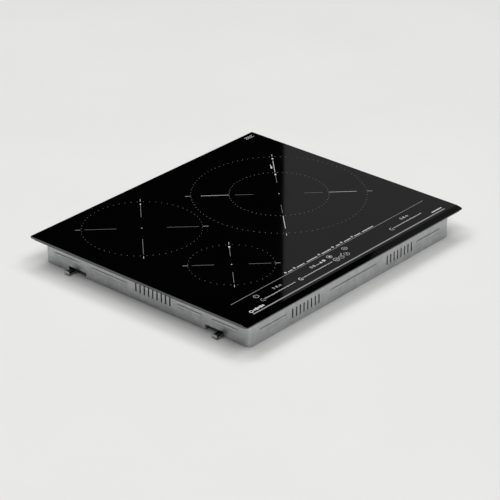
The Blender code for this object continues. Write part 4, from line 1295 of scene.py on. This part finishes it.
def make_board_parts(label):
    """Everything small that stands on an inverter board."""
    side = -1 if label == "left" else 1
    top = corners_of(f"power_board_{label}")[1].z
    sink_low, sink_high = corners_of(f"heatsink_{label}")
    sink_face = min(abs(sink_low.x), abs(sink_high.x))
    groups = {name: bmesh.new() for name in BOARD_SLOTS}

    def stand(group, x, y, z, width, depth, height):
        """A box on the board, its x counted outwards from the middle of the hob."""
        post(groups[group], side * x, y, width, depth, z, z + height)

    # Transistors against the heatsink, and the bar that presses them on
    for y in (30.0, 50.0, 70.0, 92.0):
        stand("switches", sink_face - 2.7, y, top + 3.6, 4.8, 15.6, 20.5)
        for leg in (-5.4, 0.0, 5.4):
            stand("legs", sink_face - 2.4, y + leg, top - 0.1, 0.6, 1.2, 4.0)
    stand("legs", sink_face - 5.9, 61.0, top + 15.0, 1.5, 80.0, 5.0)
    for x, y in ((214.0, 12.0), (214.0, -8.0), (186.0, 96.0)):
        stand("relays", x, y, top, 19.0, 15.5, 15.0)
    # Ribbon header with its latches and pins
    stand("headers", 80.0, -34.0, top, 24.0, 8.0, 3.2)
    for x in (68.7, 91.3):
        stand("headers", x, -34.0, top + 0.2, 1.4, 5.0, 4.8)
    for pin in range(10):
        stand("legs", 69.8 + 2.27 * pin, -38.4, top - 0.05, 0.8, 1.6, 0.5)
    # Open sockets with their pins
    for x, y, width, depth, pins in ((50.0, 30.0, 7.0, 26.0, 6), (152.0, -34.0, 32.0, 7.0, 8)):
        stand("sockets", x, y, top, width, depth, 9.0)
        for pin in range(pins):
            shift = (max(width, depth) - 4.0) * (pin / (pins - 1) - 0.5)
            spot = (x + shift, y) if width > depth else (x, y + shift)
            stand("legs", *spot, top + 1.0, 0.7, 0.7, 6.0)
    # Two fields of resistors with metal ends
    for index in range(16):
        for start_x, start_y in ((104.0, 8.0), (146.0, -8.0)):
            x = start_x + 3.4 * (index % 8)
            y = start_y - 3.0 * (index // 8)
            stand("small_parts", x, y, top, 2.0, 1.2, 0.7)
            for end in (-0.85, 0.85):
                stand("legs", x + end, y, top - 0.05, 0.4, 1.3, 0.8)
    make_transformer(groups, side * 214.0, 96.0, top)
    base, side_wall = ((0.0, 0.0), (5.0, 0.0), (5.0, 0.8)), ((4.8, 1.4), (5.0, 2.0), (5.0, 14.0))
    can = base + side_wall + ((4.6, 14.5), (0.0, 14.5))
    for x, y in ((176.0, 6.0), (190.0, 6.0), (190.0, -8.0)):
        lathe(groups["cans"], can, (side * x, y, top), steps=28)
    for x, y, width, depth, pins in ((136.0, -6.0, 14.0, 8.0, 12), (60.0, -22.0, 10.0, 6.0, 8)):
        chip(groups["switches"], groups["legs"], side * x, y, top, width, depth, pins)

    for x, y in COIL_TERMINALS:
        stand("legs", x, y, top - 0.1, 8.0, 8.0, 5.0)
        stamp(groups["legs"], SCREW_MESH, (side * x, y, top + 4.9), UP, 2.8, 30.0)
    for x in (52.0, 218.0):
        for y in (-28.0, 100.0):
            stamp(groups["legs"], SCREW_MESH, (side * x, y, top), UP, 2.8, 10.0)
    hollow_out(groups["sockets"], 0.9, 7.6)
    for group in ("switches", "relays", "headers", "cores"):
        soften(groups[group])
    for group, shape in groups.items():
        add_piece(f"board_{group}_{label}", shape, BOARD_SLOTS[group])


def make_fuse(top):
    """A fuse on the filter board, and its clips with the board's screws."""
    clips = bmesh.new()
    for x in (-11.0, 11.0):
        post(clips, x, 98.0, 4.0, 7.0, top - 0.1, top + 1.2)
        for y in (95.1, 100.9):
            post(clips, x, y, 4.0, 0.6, top + 1.0, top + 6.0)
    for x in (-27.0, 27.0):
        for y in (45.0, 165.0):
            stamp(clips, SCREW_MESH, (x, y, top), UP, 2.8, 15.0)
    add_piece("fuse_clips", clips, "spring_steel")
    cap = [(0.0, 11.0), (2.5, 11.0), (2.6, 10.4), (2.6, 5.6), (2.4, 5.5)]
    profile = [(radius, -height) for radius, height in cap] + cap[::-1]
    add_piece("fuse", lathe(bmesh.new(), profile, (0.0, 98.0, top + 3.7), (1, 0, 0)), "white_plastic")


def make_filter_parts():
    """Fuse, discs and header of the mains filter board, and the wires to it."""
    top = corners_of("filter_board")[1].z
    make_fuse(top)
    discs = bmesh.new()
    profile = ((0.0, -1.8), (5.0, -1.8), (5.8, -1.0), (5.8, 1.0), (5.0, 1.8), (0.0, 1.8))
    for x in (-24.0, 24.0):
        lathe(discs, profile, (x, 88.0, top + 6.2), (0, 1, 0))
    add_piece("varistor_discs", discs, "capacitor")
    header = slabs(158.5, 166.6, (-22.0, top, 22.0, top + 9.0))
    post(header, 0.0, 168.3, 43.6, 3.8, top + 0.1, top + 1.4)
    post(header, 0.0, 160.7, 36.0, 1.4, top + 8.8, top + 9.8)
    pole = 8.0
    for wall in range(len(MAINS_WIRES) + 1):
        post(header, pole * wall - 20.0, 168.3, 1.2, 4.2, top + 0.3, top + 8.6)
    add_piece("mains_header", soften(header), "white_plastic")

    low, high = corners_of("terminal_block")
    pitch = (high.x - low.x) / len(MAINS_WIRES)
    for index, colour in enumerate(MAINS_WIRES):
        x = low.x + pitch * (index + 0.5)
        pin = pole * index - 16.0
        route = (
            (x, low.y + 1.0, 15.4), (x, low.y - 2.5, 15.2), (x, low.y - 10.0, 11.0),
            (pin, 180.0, 11.5), (pin, 172.0, 13.0), (pin, 166.0, 13.0),
        )
        wire = sweep(bmesh.new(), smooth_path(route), 1.3)
        materials = (INSULATION[colour],)
        add_piece(f"mains_wire_{index}", wire, "dark_plastic", materials=materials, smooth_angle=50)


def make_control_parts():
    """Sensing springs, lamps and chips on the touch control board."""
    top = corners_of("control_board")[1].z
    under_glass = GLASS_LOW.z / MM
    for name, spot in TOUCH_SPOTS.items():
        spring = sweep(bmesh.new(), helix(spot, 3.2, top + 0.4, under_glass - 0.5, 3), 0.25, 6)
        add_piece(f"touch_spring_{name}", spring, "spring_steel", smooth_angle=80)
    lamps = bmesh.new()
    for _, start, end in LEGENDS:
        post(lamps, (start + end) / 2, LEGEND_Y, 2.0, 1.2, top - 0.05, top + 0.7)
    add_piece("control_lamps", soften(lamps, FINE_ROUNDING / 2), "white_plastic")
    bodies = bmesh.new()
    legs = bmesh.new()
    for x in (-128.0, 62.0, 110.0):
        chip(bodies, legs, x, -222.0, top, 12.0, 7.0, 10)
    add_piece("control_chips", soften(bodies, FINE_ROUNDING), "dark_plastic")
    add_piece("control_chip_legs", legs, "spring_steel")


# ---------------------------------------------------------------- stage

def make_camera():
    data = bpy.data.cameras.new("camera")
    data.lens = CAMERA_LENS
    data.sensor_width = SENSOR
    data.clip_end = 200.0
    camera = placed("camera", data)
    camera.location = CAMERA_PLACE
    camera.rotation_euler = (math.pi / 2 - CAMERA_DIP, 0.0, -CAMERA_TURN)
    bpy.context.scene.camera = camera


def add_lamp(name, place, target, width, height, power):
    data = bpy.data.lights.new(name, "AREA")
    data.shape = "RECTANGLE"
    data.size = width
    data.size_y = height
    data.energy = power
    lamp = placed(name, data)
    lamp.location = place
    lamp.rotation_euler = (Vector(target) - Vector(place)).to_track_quat("-Z", "Y").to_euler()
    return lamp


def make_card(name, spot, slope, low, high, radiance):
    """A soft upright card that the glass mirrors, from one spot on the glass rightwards.

    The spot is where the camera sees the card's left edge in a face of that slope. From the
    spot, the card reaches from the low angle to the high one.
    """
    point = Vector((spot[0] * MM, spot[1] * MM, GLASS_TOP))
    normal = Vector((0.0, -math.sin(slope), math.cos(slope)))
    bounce = (point - Vector(CAMERA_PLACE)).normalized().reflect(normal)
    forward = Vector((bounce.x, bounce.y, 0.0)).normalized()
    right = Vector((forward.y, -forward.x, 0.0))
    edge = Vector((point.x, point.y, 0.0)) + forward * CARD_DISTANCE
    bottom, top = (CARD_DISTANCE * math.tan(angle) for angle in (low, high))
    middle = edge + right * (CARD_WIDTH / 2)
    middle.z = (bottom + top) / 2
    power = radiance * math.pi * CARD_WIDTH * (top - bottom)
    card = add_lamp(name, middle, middle - forward, CARD_WIDTH, top - bottom, power)
    card.visible_camera = False


def make_lights():
    """A ring of soft lamps high above, and two soft cards behind the hob."""
    reach = LAMP_DISTANCE * math.cos(LAMP_RISE)
    height = LAMP_DISTANCE * math.sin(LAMP_RISE)
    for index in range(LAMP_COUNT):
        place = (*polar(reach, 2 * math.pi * (index + 0.5) / LAMP_COUNT), height)
        add_lamp(f"soft_lamp_{index}", place, (0.0, 0.0, 0.0), LAMP_SIZE, LAMP_SIZE, LAMP_POWER)

    make_card("reflected_card", (-130.0, -190.0), 0.0, CARD_LOW, CARD_HIGH, 0.195)
    make_card("reflected_high_card", (45.0, -248.0), BEVEL_SLOPE, CARD_HIGH, CARD_TOP, 0.10)

    world = bpy.data.worlds.new("dark_studio")
    world.use_nodes = True
    world.node_tree.nodes["Background"].inputs["Color"].default_value = WORLD_COLOUR
    bpy.context.scene.world = world


def make_floor():
    shape = bmesh.new()
    corners = [(x * FLOOR_HALF, y * FLOOR_HALF) for x, y in ((-1, -1), (1, -1), (1, 1), (-1, 1))]
    prism(shape, corners, FLOOR_LOW, FLOOR_HIGH, 1.0)
    floor = placed("floor", mesh_of(shape, "floor"))
    floor.data.materials.append(pale_floor())


def dress_nodes():
    """Give each CAD node the finish of its slot in the record."""
    for name, item in NODES.items():
        item.data.materials.clear()
        item.data.materials.append(FINISHES[NODE_SLOTS[name]])


make_camera()
make_lights()
make_floor()
dress_nodes()
make_glass()
make_zone_marks()
make_control_lines()
make_slider("left", -208.5, -204.0, -125.0, 0.55)
make_slider("middle", -109.0, -104.0, -25.0, 1.2)
make_slider("right", 144.0, 149.5, 229.0, 0.8)
make_keys()
make_indicators()
make_legends()
make_pan_symbol()
make_corner_marks()
for node in NODES:
    if not node.startswith(OWN_SHAPES):
        refine(node)
SCREW_MESH = make_screw_head()
make_coils()
for label in ("left", "right"):
    make_choke_winding(f"output_choke_{label}", 9.0, 26, 0.75, ((20, 340),))
    make_board_parts(label)
    make_fan_lid(label)
make_choke_winding("filter_choke", 8.0, 12, 0.9, ((15, 165), (195, 345)))
make_filter_parts()
make_control_parts()
make_wall_screws()
make_wall_beads()
make_earth_point()
make_cover_details()
make_terminals()
make_clamp_details()
bpy.context.scene.view_settings.view_transform = "Standard"
